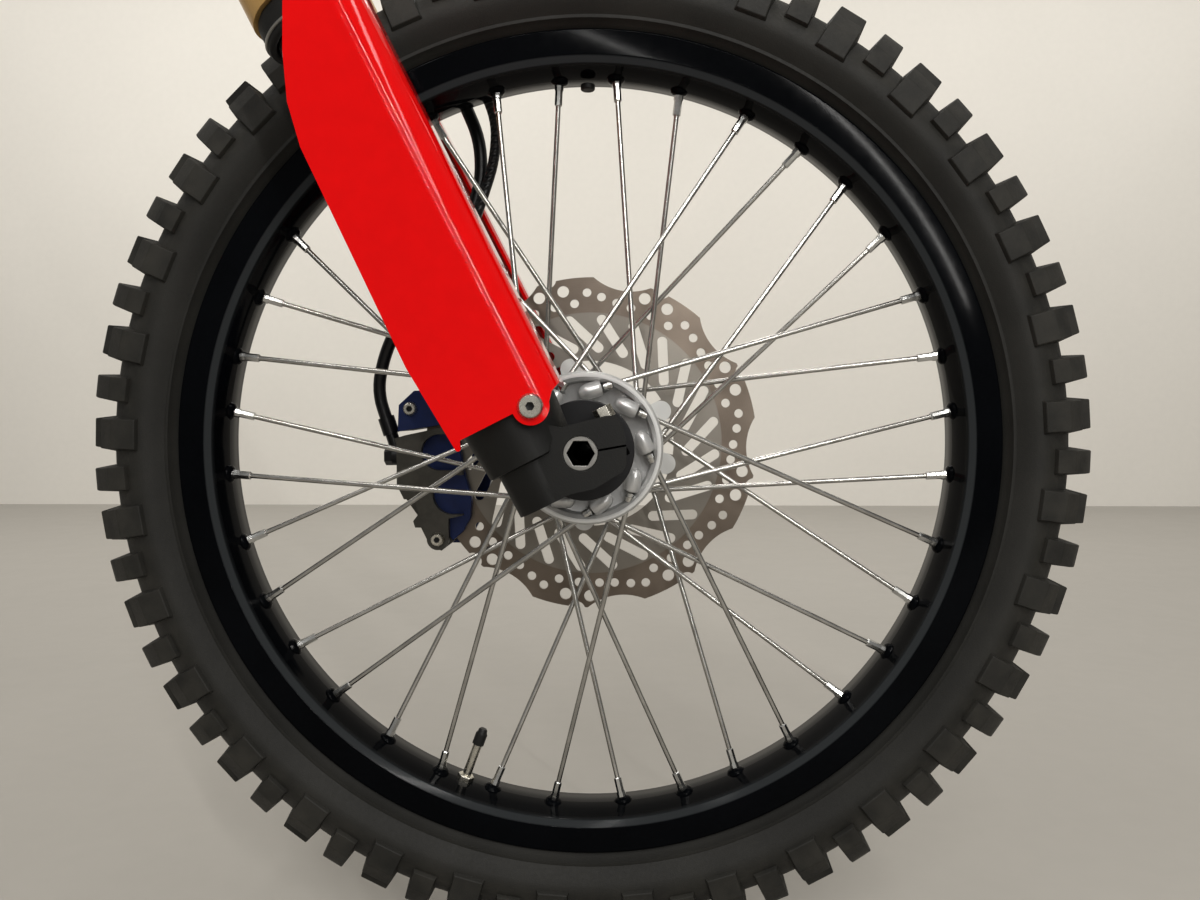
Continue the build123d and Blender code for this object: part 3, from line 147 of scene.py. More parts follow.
class Graph:
    """A material's node tree around one Principled shader."""

    # How fast a drawn grain changes along the leg, as a share of across it
    drawn_share: float = 0.02

    def __init__(self, name: str) -> None:
        """Make the material and clear its tree."""
        self.material = bpy.data.materials.new(name)
        self.material.use_nodes = True
        self.tree = self.material.node_tree
        self.tree.nodes.clear()
        self.shader = self.node("ShaderNodeBsdfPrincipled", {}, {})
        self.node("ShaderNodeOutputMaterial", {}, {"Surface": self.shader.outputs[0]})
        self.place = self.node("ShaderNodeTexCoord", {}, {}).outputs["Object"]

    def node(self, kind: str, settings: dict[str, Any], inputs: dict[Any, Any]) -> bpy.types.Node:
        """Add a node.

        Args:
            kind: The node's Blender type.
            settings: Its own options, set first.
            inputs: Values, sockets or Values by socket name or number.

        Returns:
            The new node.
        """
        node = self.tree.nodes.new(kind)
        for name, setting in settings.items():
            setattr(node, name, setting)
        for name, given in inputs.items():
            self.feed(node.inputs[name], given)
        return node

    def feed(self, socket: bpy.types.NodeSocket, given: Any) -> None:
        """Link or set one input socket."""
        if isinstance(given, Value):
            given = given.socket
        if isinstance(given, bpy.types.NodeSocket):
            self.tree.links.new(given, socket)
        elif isinstance(given, tuple) and len(given) == 3 and socket.type == "RGBA":
            socket.default_value = (*given, 1.0)
        else:
            socket.default_value = given

    def along(self, direction: Vector, origin: Vector) -> Value:
        """Distance of a surface point from an origin along a direction."""
        kind = "ShaderNodeVectorMath"
        shifted = self.node(kind, {"operation": "SUBTRACT"}, {0: self.place, 1: tuple(origin)})
        dot = self.node(kind, {"operation": "DOT_PRODUCT"}, {0: shifted.outputs[0], 1: tuple(direction)})
        return Value(self, dot.outputs["Value"])

    def radius(self) -> Value:
        """Distance of a surface point from the axle's line."""
        ahead = self.along(FORWARD, AXLE)
        above = self.along(UP, AXLE)
        return (ahead * ahead + above * above) ** 0.5

    def noise(self, scale: float, detail: float = 2.0, grain: Grain = Grain.SAND) -> Value:
        """Noise whose pattern runs as the grain says.

        Args:
            scale: Waves in a metre.
            detail: Finer layers on top of the first.
            grain: How the pattern runs.

        Returns:
            The noise, about 0 to 1.
        """
        settings: dict[str, Any] = {}
        inputs: dict[Any, Any] = {"Scale": scale, "Detail": detail}
        if grain is Grain.TURNED:
            settings["noise_dimensions"] = "1D"
            inputs["W"] = self.radius()
        elif grain is Grain.DRAWN:
            lengthwise = self.along(UP_LEG, AXLE) * self.drawn_share
            parts = {0: self.along(AHEAD, AXLE), 1: self.along(LEFT, AXLE), 2: lengthwise}
            inputs["Vector"] = self.node("ShaderNodeCombineXYZ", {}, parts).outputs[0]
        else:
            inputs["Vector"] = self.place
        node = self.node("ShaderNodeTexNoise", settings, inputs)
        return Value(self, node.outputs["Fac"])

    def blend(self, low: Any, high: Any, share: Value) -> bpy.types.NodeSocket:
        """Colour between two others by a share from 0 to 1."""
        mix = self.node("ShaderNodeMix", {"data_type": "RGBA"}, {0: share, 6: low, 7: high})
        return mix.outputs[2]

    def bump(self, height: Value, depth: float) -> None:
        """Raise the surface by a height from 0 to 1 times a depth in metres."""
        inputs = {"Height": height, "Distance": depth}
        self.feed(self.shader.inputs["Normal"], self.node("ShaderNodeBump", {}, inputs).outputs[0])


@dataclass(frozen=True)
class Finish:
    """One surface finish: two colours, roughness and a fine grain.

    Patches and grain scale are waves in a metre, the grain's depth is in metres, and the patch share says
    how much of the colour's change comes from the patches; the rest comes from the grain.
    """

    name: str
    dark: Colour
    light: Colour
    slot: str
    metallic: float = 0.0
    rough: tuple[float, float] = (0.4, 0.5)
    patches: float = 25.0
    grain: Grain = Grain.SAND
    grain_scale: float = 900.0
    grain_depth: float = 0.00005
    ior: float = 1.45
    patch_share: float = 0.6

    def colour(self, graph: Graph) -> Any:
        """The base colour: broad patches with a trace of the grain."""
        share = graph.noise(self.patches, 4.0).ramp(0.3, 0.7)
        fine = graph.noise(self.grain_scale, 3.0, self.grain).ramp(0.2, 0.8)
        return graph.blend(self.dark, self.light, share * self.patch_share + fine * (1 - self.patch_share))

    def height(self, graph: Graph) -> Value:
        """Relief of the surface, 0 to 1."""
        return graph.noise(self.grain_scale, 3.0, self.grain)

    def material(self) -> bpy.types.Material:
        """Build the material, or return it where it exists."""
        name = f"{self.name}_finish"
        known = bpy.data.materials.get(name)
        if known:
            return known
        graph = Graph(name)
        shader = graph.shader.inputs
        graph.feed(shader["Base Color"], self.colour(graph))
        low, high = self.rough
        wear = graph.noise(self.grain_scale / 3, 2.0, self.grain)
        graph.feed(shader["Roughness"], wear * (high - low) + low)
        shader["Metallic"].default_value = self.metallic
        shader["IOR"].default_value = self.ior
        graph.bump(self.height(graph), self.grain_depth)
        return graph.material


@dataclass(frozen=True)
class TyreRubber(Finish):
    """Rubber that is clean towards the rim, with thin dust farther out.

    The dust starts at the first radius of sidewall and is full at the second.
    """

    sidewall: Point = (0.292, 0.318)
    dust: Colour = (0.031, 0.029, 0.024)
    dust_patches: float = 60.0
    dust_share: float = 0.75

    def colour(self, graph: Graph) -> Any:
        """Black rubber under thin dust that lies on the outer sidewall and blocks."""
        plain = Finish.colour(self, graph)
        cover = graph.radius().ramp(*self.sidewall) * graph.noise(self.dust_patches, 5.0).ramp(0.25, 0.75)
        return graph.blend(plain, self.dust, cover * self.dust_share)


@dataclass(frozen=True)
class Rings(Finish):
    """A surface with a lighter ring about the axle, between two radii: on the rim a painted highlight along
    the ledge, on the hub the flange's polished rim with a painted highlight, on the disc the carrier's own
    lighter colour.
    """

    ring: Point = (0.0, 0.0)
    ring_highlight_and_tone: Colour = (0.5, 0.5, 0.5)
    ring_soft: float = 0.0006
    ring_share: float = 0.8

    def colour(self, graph: Graph) -> Any:
        """The grain's colours, with the lighter ring laid over them."""
        plain = Finish.colour(self, graph)
        cover = graph.radius().band(*self.ring, self.ring_soft) * self.ring_share
        return graph.blend(plain, self.ring_highlight_and_tone, cover)


@dataclass(frozen=True)
class CoiledHose(Finish):
    """Rubber hose whose surface shows the turns of a protective coil."""

    pitch: float = 0.0042

    def height(self, graph: Graph) -> Value:
        """Turns of the coil along the leg."""
        turns = graph.along(UP_LEG, AXLE) * (math.tau / self.pitch)
        return turns.sine() * 0.5 + 0.5


class Finishes:
    """All finishes on the object."""

    RUBBER = TyreRubber("tyre_rubber", (0.0080, 0.0078, 0.0067), (0.0180, 0.0174, 0.0150), "tyre",
                        rough=(0.50, 0.70), patches=18.0, grain_scale=1400.0, grain_depth=0.00012, ior=1.30)
    # The lighter ring from 258.6 to 262.8 mm is a painted highlight on the rim's ledge.
    RIM = Rings("rim_black", (0.0010, 0.0012, 0.0016), (0.0022, 0.0026, 0.0034), "rim_black",
                rough=(0.06, 0.12), patches=12.0, grain_scale=500.0, grain_depth=0.000003, ior=1.10,
                ring=(0.2586, 0.2628), ring_highlight_and_tone=(0.030, 0.033, 0.035))
    SPOKE = Finish("spoke_steel", (0.34, 0.33, 0.31), (0.54, 0.53, 0.50), "spoke_steel", metallic=1.0,
                   rough=(0.16, 0.30), patches=70.0, grain_scale=2500.0, grain_depth=0.000002)
    NIPPLE = Finish("nipple_silver", (0.42, 0.42, 0.41), (0.62, 0.62, 0.60), "nipple_silver", metallic=1.0,
                    rough=(0.16, 0.30), patches=90.0, grain_scale=2500.0, grain_depth=0.000002)
    # The lighter ring from 48.5 to 80 mm is partly the flange's polished rim and partly a painted
    # highlight, leaving the recess inside it darker as painted shade.
    HUB = Rings("hub_alloy", (0.44, 0.44, 0.435), (0.60, 0.60, 0.59), "hub_alloy", metallic=0.55,
                rough=(0.26, 0.38), patches=60.0, grain_scale=1500.0, grain_depth=0.000008,
                ring=(0.0485, 0.080), ring_highlight_and_tone=(0.66, 0.66, 0.64))
    STEEL = Finish("machined_steel", (0.27, 0.265, 0.25), (0.40, 0.39, 0.37), "axle_steel", metallic=1.0,
                   rough=(0.26, 0.42), patches=50.0, grain=Grain.TURNED, grain_scale=4000.0,
                   grain_depth=0.00001)
    BEARING = Finish("bearing_steel", (0.40, 0.40, 0.42), (0.55, 0.55, 0.57), "bearing_steel", metallic=1.0,
                     rough=(0.2, 0.35), grain=Grain.TURNED, grain_scale=4000.0, grain_depth=0.00001)
    SEAL = Finish("seal_rubber", (0.004, 0.004, 0.004), (0.010, 0.010, 0.009), "seal_rubber",
                  rough=(0.45, 0.6), patches=60.0, grain_scale=1500.0, grain_depth=0.00005, ior=1.33)
    DISC = Rings("disc_steel", (0.118, 0.095, 0.076), (0.198, 0.163, 0.132), "disc_steel", metallic=0.9,
                 rough=(0.26, 0.38), patches=30.0, grain=Grain.TURNED, grain_scale=2600.0,
                 grain_depth=0.00001, ring=(0.052, 0.1025), ring_highlight_and_tone=(0.22, 0.205, 0.18))
    ZINC = Finish("bolt_zinc", (0.46, 0.44, 0.385), (0.68, 0.655, 0.58), "bolt_zinc", metallic=1.0,
                  rough=(0.20, 0.34), patches=120.0, grain_scale=2200.0, grain_depth=0.000004)
    # Near-black, matt and barely reflecting: painted shade in the axle's bore and on the pinch bolts'
    # shanks.
    PAINTED_SHADE = Finish("painted_shade_black", (0.0010, 0.0010, 0.0010), (0.0030, 0.0030, 0.0030), "painted_shade_black",
                  rough=(0.75, 0.90), ior=1.05)
    CAP = Finish("valve_cap", (0.004, 0.004, 0.004), (0.010, 0.010, 0.010), "valve_cap",
                 rough=(0.35, 0.5), patches=120.0, grain_scale=2000.0, grain_depth=0.00003, ior=1.35)
    # Dark spacer finish, also worn as painted shade in bolt sockets and on the inner spoke heads.
    SPACER = Finish("spacer_dark", (0.003, 0.003, 0.0035), (0.007, 0.007, 0.008), "spacer_dark",
                    rough=(0.25, 0.40), patches=60.0, grain=Grain.TURNED, grain_scale=3000.0,
                    grain_depth=0.00001, ior=1.35)
    FOOT = Finish("foot_black", (0.0020, 0.0020, 0.0017), (0.0052, 0.0052, 0.0044), "foot_black",
                  rough=(0.42, 0.58), patches=40.0, grain_scale=1500.0, grain_depth=0.00008, ior=1.33)
    CHROME = Finish("inner_chrome", (0.60, 0.60, 0.62), (0.74, 0.74, 0.76), "inner_chrome", metallic=1.0,
                    rough=(0.06, 0.14), grain=Grain.DRAWN, grain_scale=600.0, grain_depth=0.000005)
    GOLD = Finish("outer_gold", (0.52, 0.31, 0.105), (0.72, 0.44, 0.155), "outer_gold", metallic=0.55,
                  rough=(0.26, 0.40), patches=18.0, grain=Grain.DRAWN, grain_scale=500.0,
                  grain_depth=0.00001)
    GUARD = Finish("guard_red", (0.63, 0.0004, 0.0007), (0.73, 0.0007, 0.0012), "guard_red",
                   rough=(0.04, 0.06), patches=6.0, grain_scale=90.0, grain_depth=0.000002, ior=1.28)
    CALIPER = Finish("caliper_grey", (0.030, 0.028, 0.022), (0.062, 0.057, 0.046), "caliper_grey",
                     metallic=0.3, rough=(0.38, 0.55), patches=90.0, grain_scale=1600.0,
                     grain_depth=0.00012)
    BRACKET = Finish("bracket_blue", (0.0020, 0.0085, 0.052), (0.0040, 0.0160, 0.092), "bracket_blue",
                     metallic=0.2, rough=(0.34, 0.48), patches=80.0, grain_scale=1500.0,
                     grain_depth=0.00006, ior=1.38)
    CLAMP = Finish("clamp_black", (0.006, 0.006, 0.007), (0.014, 0.014, 0.016), "clamp_black", metallic=0.4,
                   rough=(0.32, 0.46), patches=30.0, grain_scale=1800.0, grain_depth=0.00004)
    HOSE = Finish("hose_black", (0.003, 0.003, 0.0035), (0.008, 0.008, 0.009), "hose_black",
                  rough=(0.26, 0.40), patches=60.0, grain_scale=1800.0, grain_depth=0.00003, ior=1.36)
    COIL = CoiledHose("hose_coil", (0.003, 0.003, 0.0035), (0.009, 0.009, 0.010), "hose_black",
                      rough=(0.26, 0.40), patches=60.0, grain_scale=1800.0, grain_depth=0.0006, ior=1.36)


def wheel_frame() -> Matrix:
    """Places a shape turned about its own Y axis on the axle."""
    return Matrix.Translation(AXLE)


def leg_frame(side: Side, leg_y: float, lead: float) -> Matrix:
    """Places a shape on a fork leg: X ahead, Y left, Z up the leg, from the axle's height.

    Args:
        side: Which leg.
        leg_y: Distance of the leg's axis from the middle plane.
        lead: Distance of the axle in front of the leg's axis.

    Returns:
        The matrix from the leg's own axes to the frame's.
    """
    turn = Matrix((AHEAD, LEFT, UP_LEG)).transposed().to_4x4()
    return Matrix.Translation(AXLE - AHEAD * lead + LEFT * side.value * leg_y) @ turn


def radial_frame(angle: float, radius: float) -> Matrix:
    """Places a shape on the wheel with its Z pointing out from the axle.

    Args:
        angle: Radians above forward, seen from the right.
        radius: Distance from the axle.

    Returns:
        The matrix from the shape's own axes to the frame's.
    """
    turn = Matrix.Rotation(math.pi / 2 - angle, 4, "Y")
    return wheel_frame() @ turn @ Matrix.Translation(UP * radius)


def between_frame(start: Vector, end: Vector) -> Matrix:
    """Places a shape at a start with its Z pointing at an end."""
    turn = (end - start).to_track_quat("Z", "Y").to_matrix().to_4x4()
    return Matrix.Translation(start) @ turn


class Shape:
    """A mesh under construction, with the few moves that the pieces share."""

    def __init__(self) -> None:
        """Start with nothing."""
        self.bm: BMesh = bmesh.new()

    def lathe(self, outline: Sequence[Point], steps: int, axis: Vector = LEFT,
              closed: bool = True) -> list[BMVert]:
        """Turn an outline once about an axis through the origin.

        Args:
            outline: Radius and place along the axis of each point.
            steps: Faces round the axis.
            axis: Y or Z.
            closed: Whether the last point joins the first; an open outline starts and ends on the axis.

        Returns:
            The new vertices.
        """
        known = set(self.bm.verts)
        points = [Vector((r, 0.0, 0.0)) + axis * along for r, along in outline]
        verts = [self.bm.verts.new(point) for point in points]
        pairs = zip(verts, verts[1:] + verts[:1]) if closed else zip(verts, verts[1:])
        edges = [self.bm.edges.new(pair) for pair in pairs]
        bmesh.ops.spin(self.bm, geom=verts + edges, cent=(0, 0, 0), axis=axis, angle=math.tau,
                       steps=steps, use_merge=True)
        fresh = [vert for vert in self.bm.verts if vert not in known]
        bmesh.ops.remove_doubles(self.bm, verts=fresh, dist=HAIR)
        return [vert for vert in self.bm.verts if vert not in known]

    def turned(self, outline: Sequence[Point], steps: int) -> list[BMVert]:
        """Turn an outline that starts and ends on the Z axis once about it."""
        return self.lathe(outline, steps, UP, closed=False)

    def lathe_both(self, half: Sequence[Point], steps: int) -> list[BMVert]:
        """Turn one half of a section and its mirror image, and open the walls between them.

        Args:
            half: Radius and place along the axle of each point of one half.
            steps: Faces round the axle.

        Returns:
            The vertices on the middle plane.
        """
        for mirror in (1, -1):
            self.lathe([(r, y * mirror) for r, y in half], steps)
        middle = [vert for vert in self.bm.verts if abs(vert.co.y) < ON_MIDDLE]
        bmesh.ops.delete(self.bm, geom=self.faces_of(middle), context="FACES")
        return middle

    def prism(self, outline: Sequence[Point], depth: float) -> list[BMVert]:
        """Extrude an outline in the XY plane by a depth, half to each side along Z."""
        known = set(self.bm.verts)
        verts = [self.bm.verts.new((x, y, -depth / 2)) for x, y in outline]
        face = self.bm.faces.new(verts)
        grown = bmesh.ops.extrude_face_region(self.bm, geom=[face], use_keep_orig=True)
        moved = [item for item in grown["geom"] if isinstance(item, BMVert)]
        bmesh.ops.translate(self.bm, verts=moved, vec=(0, 0, depth))
        return [vert for vert in self.bm.verts if vert not in known]

    def faces_of(self, verts: Iterable[BMVert]) -> list[BMFace]:
        """Faces that lie wholly on the given vertices."""
        chosen = set(verts)
        return [face for face in self.bm.faces if all(vert in chosen for vert in face.verts)]

    def sharp_edges(self, verts: Iterable[BMVert], angle: float) -> list[BMEdge]:
        """Edges on the given vertices that fold by more than an angle in degrees."""
        chosen = set(verts)
        limit = math.radians(angle)
        edges = [edge for edge in self.bm.edges if edge.verts[0] in chosen and edge.verts[1] in chosen]
        return [edge for edge in edges if len(edge.link_faces) == 2 and edge.calc_face_angle(0.0) > limit]

    def soften(self, verts: Iterable[BMVert], width: float, angle: float) -> None:
        """Round the edges on the given vertices that fold by more than an angle in degrees."""
        edges = self.sharp_edges(verts, angle)
        bmesh.ops.bevel(self.bm, geom=edges, offset=width, offset_type="OFFSET", segments=2,
                        profile=0.5, affect="EDGES", clamp_overlap=True, material=-1)

    def place(self, verts: Iterable[BMVert], matrix: Matrix) -> None:
        """Move vertices by a matrix."""
        bmesh.ops.transform(self.bm, matrix=matrix, verts=list(verts))

    def repeat(self, verts: Sequence[BMVert], matrices: Iterable[Matrix]) -> None:
        """Copy the part on the given vertices by each matrix."""
        faces = self.faces_of(verts)
        for matrix in matrices:
            copy = bmesh.ops.duplicate(self.bm, geom=faces)
            self.place([item for item in copy["geom"] if isinstance(item, BMVert)], matrix)

    def outwards(self) -> None:
        """Turn every face to point outwards."""
        bmesh.ops.recalc_face_normals(self.bm, faces=self.bm.faces)

    def paint(self, verts: Iterable[BMVert], slot: int) -> None:
        """Give the faces on the given vertices another material slot."""
        for face in self.faces_of(verts):
            face.material_index = slot

    def piece(self, name: str, body: Body, finishes: Sequence[Finish],
              replaces: Sequence[str] = ()) -> None:
        """Finish the mesh as an object that rides on a body.

        Args:
            name: The piece's name.
            body: The body that it moves with.
            finishes: Its finishes, in the order of its material slots.
            replaces: The nodes that it stands for.
        """
        mesh = bpy.data.meshes.new(name)
        self.bm.to_mesh(mesh)
        self.bm.free()
        mesh.shade_smooth()
        mesh.set_sharp_from_angle(angle=math.radians(SMOOTH_FOLD))
        for finish in finishes:
            mesh.materials.append(finish.material())
        obj = bpy.data.objects.new(name, mesh)
        bpy.context.scene.collection.objects.link(obj)
        weighted = obj.modifiers.new("flat_faces", "WEIGHTED_NORMAL")
        weighted.keep_sharp = True
        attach(obj, body.value)
        if replaces:
            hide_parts(*replaces)
        log.info("%s: %d faces on %s", name, len(mesh.polygons), body.value)


def softened(node: str, body: Body, finish: Finish, width: float, angle: float = 40.0,
             second: Optional[tuple[Finish, Callable[[Vector], bool]]] = None) -> None:
    """Stand in for a node with a copy whose edges are rounded.

    Args:
        node: The node's name.
        body: The body that it moves with.
        finish: Its finish.
        width: Width of the rounding.
        angle: Only edges that fold by more than this are rounded.
        second: Another finish, and the test that tells which points wear it.
    """
    shape = Shape()
    shape.bm.from_mesh(frame["nodes"][node].data)
    bmesh.ops.remove_doubles(shape.bm, verts=shape.bm.verts, dist=NODE_HAIR)
    bmesh.ops.dissolve_limit(shape.bm, angle_limit=math.radians(FLAT_FOLD), use_dissolve_boundaries=False,
                             verts=shape.bm.verts, edges=shape.bm.edges, delimit=set())
    shape.soften(shape.bm.verts, width, angle)
    finishes = [finish]
    if second:
        finishes.append(second[0])
        shape.paint([vert for vert in shape.bm.verts if second[1](vert.co)], 1)
    shape.piece(f"{node}_dressed", body, finishes, [node])


def dress(node: str, finish: Finish) -> None:
    """Give a node that keeps its own shape a finish."""
    for slot in frame["nodes"][node].material_slots:
        slot.material = finish.material()
    log.info("%s: %s", node, finish.name)


@dataclass
class Tyre:
    """Block tyre: a rounded casing with rows of blocks that are wider at the root than at the face."""

    rim_r: float = 0.2795
    pitches: int = 33
    phase: float = -7.1
    steps_per_pitch: int = 6
    root_share: float = 1.10
    face_share: float = 0.87
    block_edge: float = 0.0008

    def section(self) -> list[Point]:
        """One half of the casing: height above the rim's edge and place across, in millimetres."""
        return [
            (-10.9, 13.0), (-10.9, 20.0), (0.5, 21.8), (3.2, 24.6), (5.2, 27.4), (6.2, 29.3), (7.4, 29.4),
            (8.4, 29.2), (13.0, 32.4), (18.0, 35.2), (22.5, 36.4), (27.5, 35.9), (32.5, 33.5), (38.0, 29.4),
            (43.5, 24.4), (47.8, 18.5), (51.0, 12.0), (52.8, 6.0), (53.4, 0.0), (45.5, 0.0), (38.5, 17.0),
            (24.5, 28.0), (10.5, 24.0), (-3.5, 14.0),
        ]

    def casing(self, shape: Shape) -> None:
        """Turn both halves of the casing and join them."""
        half = [(self.rim_r + height * MM, y * MM) for height, y in self.section()]
        middle = shape.lathe_both(half, self.pitches * self.steps_per_pitch)
        bmesh.ops.remove_doubles(shape.bm, verts=middle, dist=HAIR)

    def block(self, shape: Shape, outline: Sequence[Point], length: float, share: float) -> None:
        """Make one block that narrows away from the casing, and repeat it round the tyre.

        Args:
            shape: The mesh to add to.
            outline: Height above the rim's edge and place across, in millimetres, from casing to casing.
            length: Length round the tyre, in millimetres.
            share: Place in the pitch, as a share of it.
        """
        known = set(shape.bm.verts)
        points = [(self.rim_r + height * MM, y * MM) for height, y in outline]
        verts = shape.prism(points, length * MM)
        rooted = [points[0], points[-1]]
        for vert in verts:
            foot = any(math.dist(vert.co.xy, point) < HAIR for point in rooted)
            vert.co.z *= self.root_share if foot else self.face_share
        shape.bm.normal_update()
        shape.soften(verts, self.block_edge, 25.0)
        fresh = [vert for vert in shape.bm.verts if vert not in known]
        turn = Matrix.Rotation(math.radians(-(self.phase + share * 360 / self.pitches)), 4, "Y")
        shape.place(fresh, turn)
        pitch = math.tau / self.pitches
        shape.repeat(fresh, [Matrix.Rotation(pitch * count, 4, "Y") for count in range(1, self.pitches)])

    def build(self) -> None:
        """Build the whole tyre."""
        shape = Shape()
        self.casing(shape)
        # Of each row: outline, length, place in the pitch, and whether the other side has the same
        rows = (
            (((21.0, 33), (24.0, 39.3), (40.5, 37.9), (52.5, 29), (43.0, 21)), 23.0, 0.0, True),
            (((29.5, 30), (32.7, 36.9), (45.0, 34.9), (57.0, 26), (64.9, 15), (50.5, 11)), 18.0, 0.5, True),
            (((49.5, -9.5), (67.9, -9), (67.9, 9), (49.5, 9.5)), 23.0, 0.0, False),
        )
        for outline, length, share, both in rows:
            self.block(shape, outline, length, share)
            if both:
                self.block(shape, [(height, -y) for height, y in outline], length, share)
        shape.outwards()
        shape.place(shape.bm.verts, wheel_frame())
        shape.piece("tyre_dressed", Body.WHEEL, [Finishes.RUBBER], ["tyre"])


@dataclass
class Rim:
    """Rim with a rolled edge and a domed seat at every nipple."""

    edge_r: float = 0.2805
    steps: int = 216
    seat_r: float = 0.0064
    seat_height: float = 0.0028
    seat_lift: float = 0.0160
    seat_root: float = 0.0030
    seat_skirt: float = 0.0010
    seat_turns: tuple[float, ...] = (0.0, 20.0, 40.0, 58.0)

    def section(self) -> list[Point]:
        """One half of the section: depth under the rim's edge and place across, in millimetres."""
        return [
            (0.6, 25.1), (1.4, 25.5), (16.8, 25.3), (17.6, 24.9), (21.6, 22.4), (22.0, 21.4), (22.2, 19.4),
            (23.0, 15.2), (24.0, 9.6), (24.7, 4.4), (24.9, 0.0), (22.2, 0.0), (21.6, 8.0), (12.0, 12.5),
            (11.2, 20.3), (1.2, 22.2), (0.3, 22.8), (0.0, 23.6), (0.1, 24.6),
        ]

    def build(self, nipples: Iterable[tuple[Vector, Vector]]) -> None:
        """Build the rim.

        Args:
            nipples: Foot of each nipple and the direction in which it points.
        """
        shape = Shape()
        half = [(self.edge_r - depth * MM, y * MM) for depth, y in self.section()]
        shape.lathe_both(half, self.steps)
        shape.place(shape.bm.verts, wheel_frame())
        dome = [(self.seat_r * math.cos(turn), -self.seat_height * math.sin(turn))
                for turn in map(math.radians, self.seat_turns)]
        root = [(0.0, self.seat_root), (self.seat_r + self.seat_skirt, self.seat_root)]
        outline = [*root, *dome, (0.0, dome[-1][1])]
        for foot, run in nipples:
            top = foot + run * self.seat_lift
            verts = shape.turned(outline, 16)
            shape.place(verts, between_frame(top, top + run))
        shape.outwards()
        shape.piece("rim_dressed", Body.WHEEL, [Finishes.RIM], ["rim"])


@dataclass
class Lacing:
    """Spokes in their nipples, laced across each other from hub to rim."""

    per_side: int = 18
    phase: float = 5.0
    tangent_r: float = 0.036
    hub_r: float = 0.0455
    flange_y: float = 0.030
    stagger: float = 0.0064
    nipple_y: float = 0.004
    nipple_foot_r: float = 0.2397
    boss_sink: float = 0.0012
    boss_stretch: float = 1.30

    def lines(self) -> list[tuple[Vector, Vector]]:
        """Start on the hub and foot of the nipple of every spoke."""
        found = []
        step = math.tau / self.per_side
        swing = math.acos(self.tangent_r / self.nipple_foot_r) - math.acos(self.tangent_r / self.hub_r)
        for side in Side:
            for count in range(self.per_side):
                on_left = side is Side.LEFT
                lead = 1 if (count + on_left) % 2 else -1
                rim_angle = math.radians(self.phase) + (count + on_left / 2) * step
                hub_angle = rim_angle + lead * swing
                hub_y = side.value * (self.flange_y + lead * self.stagger / 2)
                start = Vector((self.hub_r * math.cos(hub_angle), hub_y, self.hub_r * math.sin(hub_angle)))
                end = Vector((self.nipple_foot_r * math.cos(rim_angle), side.value * self.nipple_y,
                              self.nipple_foot_r * math.sin(rim_angle)))
                found.append((AXLE + start, AXLE + end))
        return found

    def heads(self) -> None:
        """Spoke heads: bright outer ones on bosses cast in the hub's recess, and inner ones painted dark as
        painted shade.
        """
        heads, bosses = Shape(), Shape()
        barrel = [
            (0.0, -0.0062), (0.0020, -0.0062), (0.0028, -0.0054), (0.0028, -0.0012), (0.0033, -0.0008),
            (0.0033, 0.0002), (0.0, 0.0002),
        ]
        boss = [
            (0.0, -0.0230), (0.0026, -0.0222), (0.0044, -0.0200), (0.0054, -0.0165), (0.0056, -0.0092),
            (0.0048, -0.0072), (0.0, -0.0068),
        ]
        for start, end in self.lines():
            place = between_frame(start, end)
            verts = heads.turned(barrel, 12)
            heads.place(verts, place)
            if abs(start.y - AXLE.y) < self.flange_y:
                # Inner heads wear the dark finish: painted shade in the flange's holes.
                heads.paint(verts, 1)
                continue
            verts = bosses.turned(boss, 16)
            middle = start.y + math.copysign(self.boss_sink, AXLE.y - start.y)
            stretch = Matrix.Translation((0, middle, 0)) @ Matrix.Diagonal((1, self.boss_stretch, 1, 1))
            bosses.place(verts, stretch @ Matrix.Translation((0, -start.y, 0)) @ place)
        heads.outwards()
        heads.piece("spoke_barrels", Body.WHEEL, [Finishes.NIPPLE, Finishes.SPACER])
        bosses.outwards()
        bosses.piece("spoke_bosses", Body.WHEEL, [Finishes.HUB])

    def build(self) -> list[tuple[Vector, Vector]]:
        """Build the nipples and dress the spokes.

        Returns:
            Foot and direction of each nipple.
        """
        shape = Shape()
        feet = []
        barrel = [
            (0.0, 0.0), (0.0023, 0.0), (0.0028, 0.0006), (0.0028, 0.0100), (0.0033, 0.0108),
            (0.0034, 0.0150), (0.0, 0.0150),
        ]
        for start, end in self.lines():
            verts = shape.turned(barrel, 8)
            shape.place(verts, between_frame(end, end + (end - start)))
            feet.append((end, (end - start).normalized()))
        shape.outwards()
        shape.piece("nipples_dressed", Body.WHEEL, [Finishes.NIPPLE], ["nipples"])
        self.heads()
        for side in Side:
            dress(f"spokes_{side.word}", Finishes.SPOKE)
        return feet


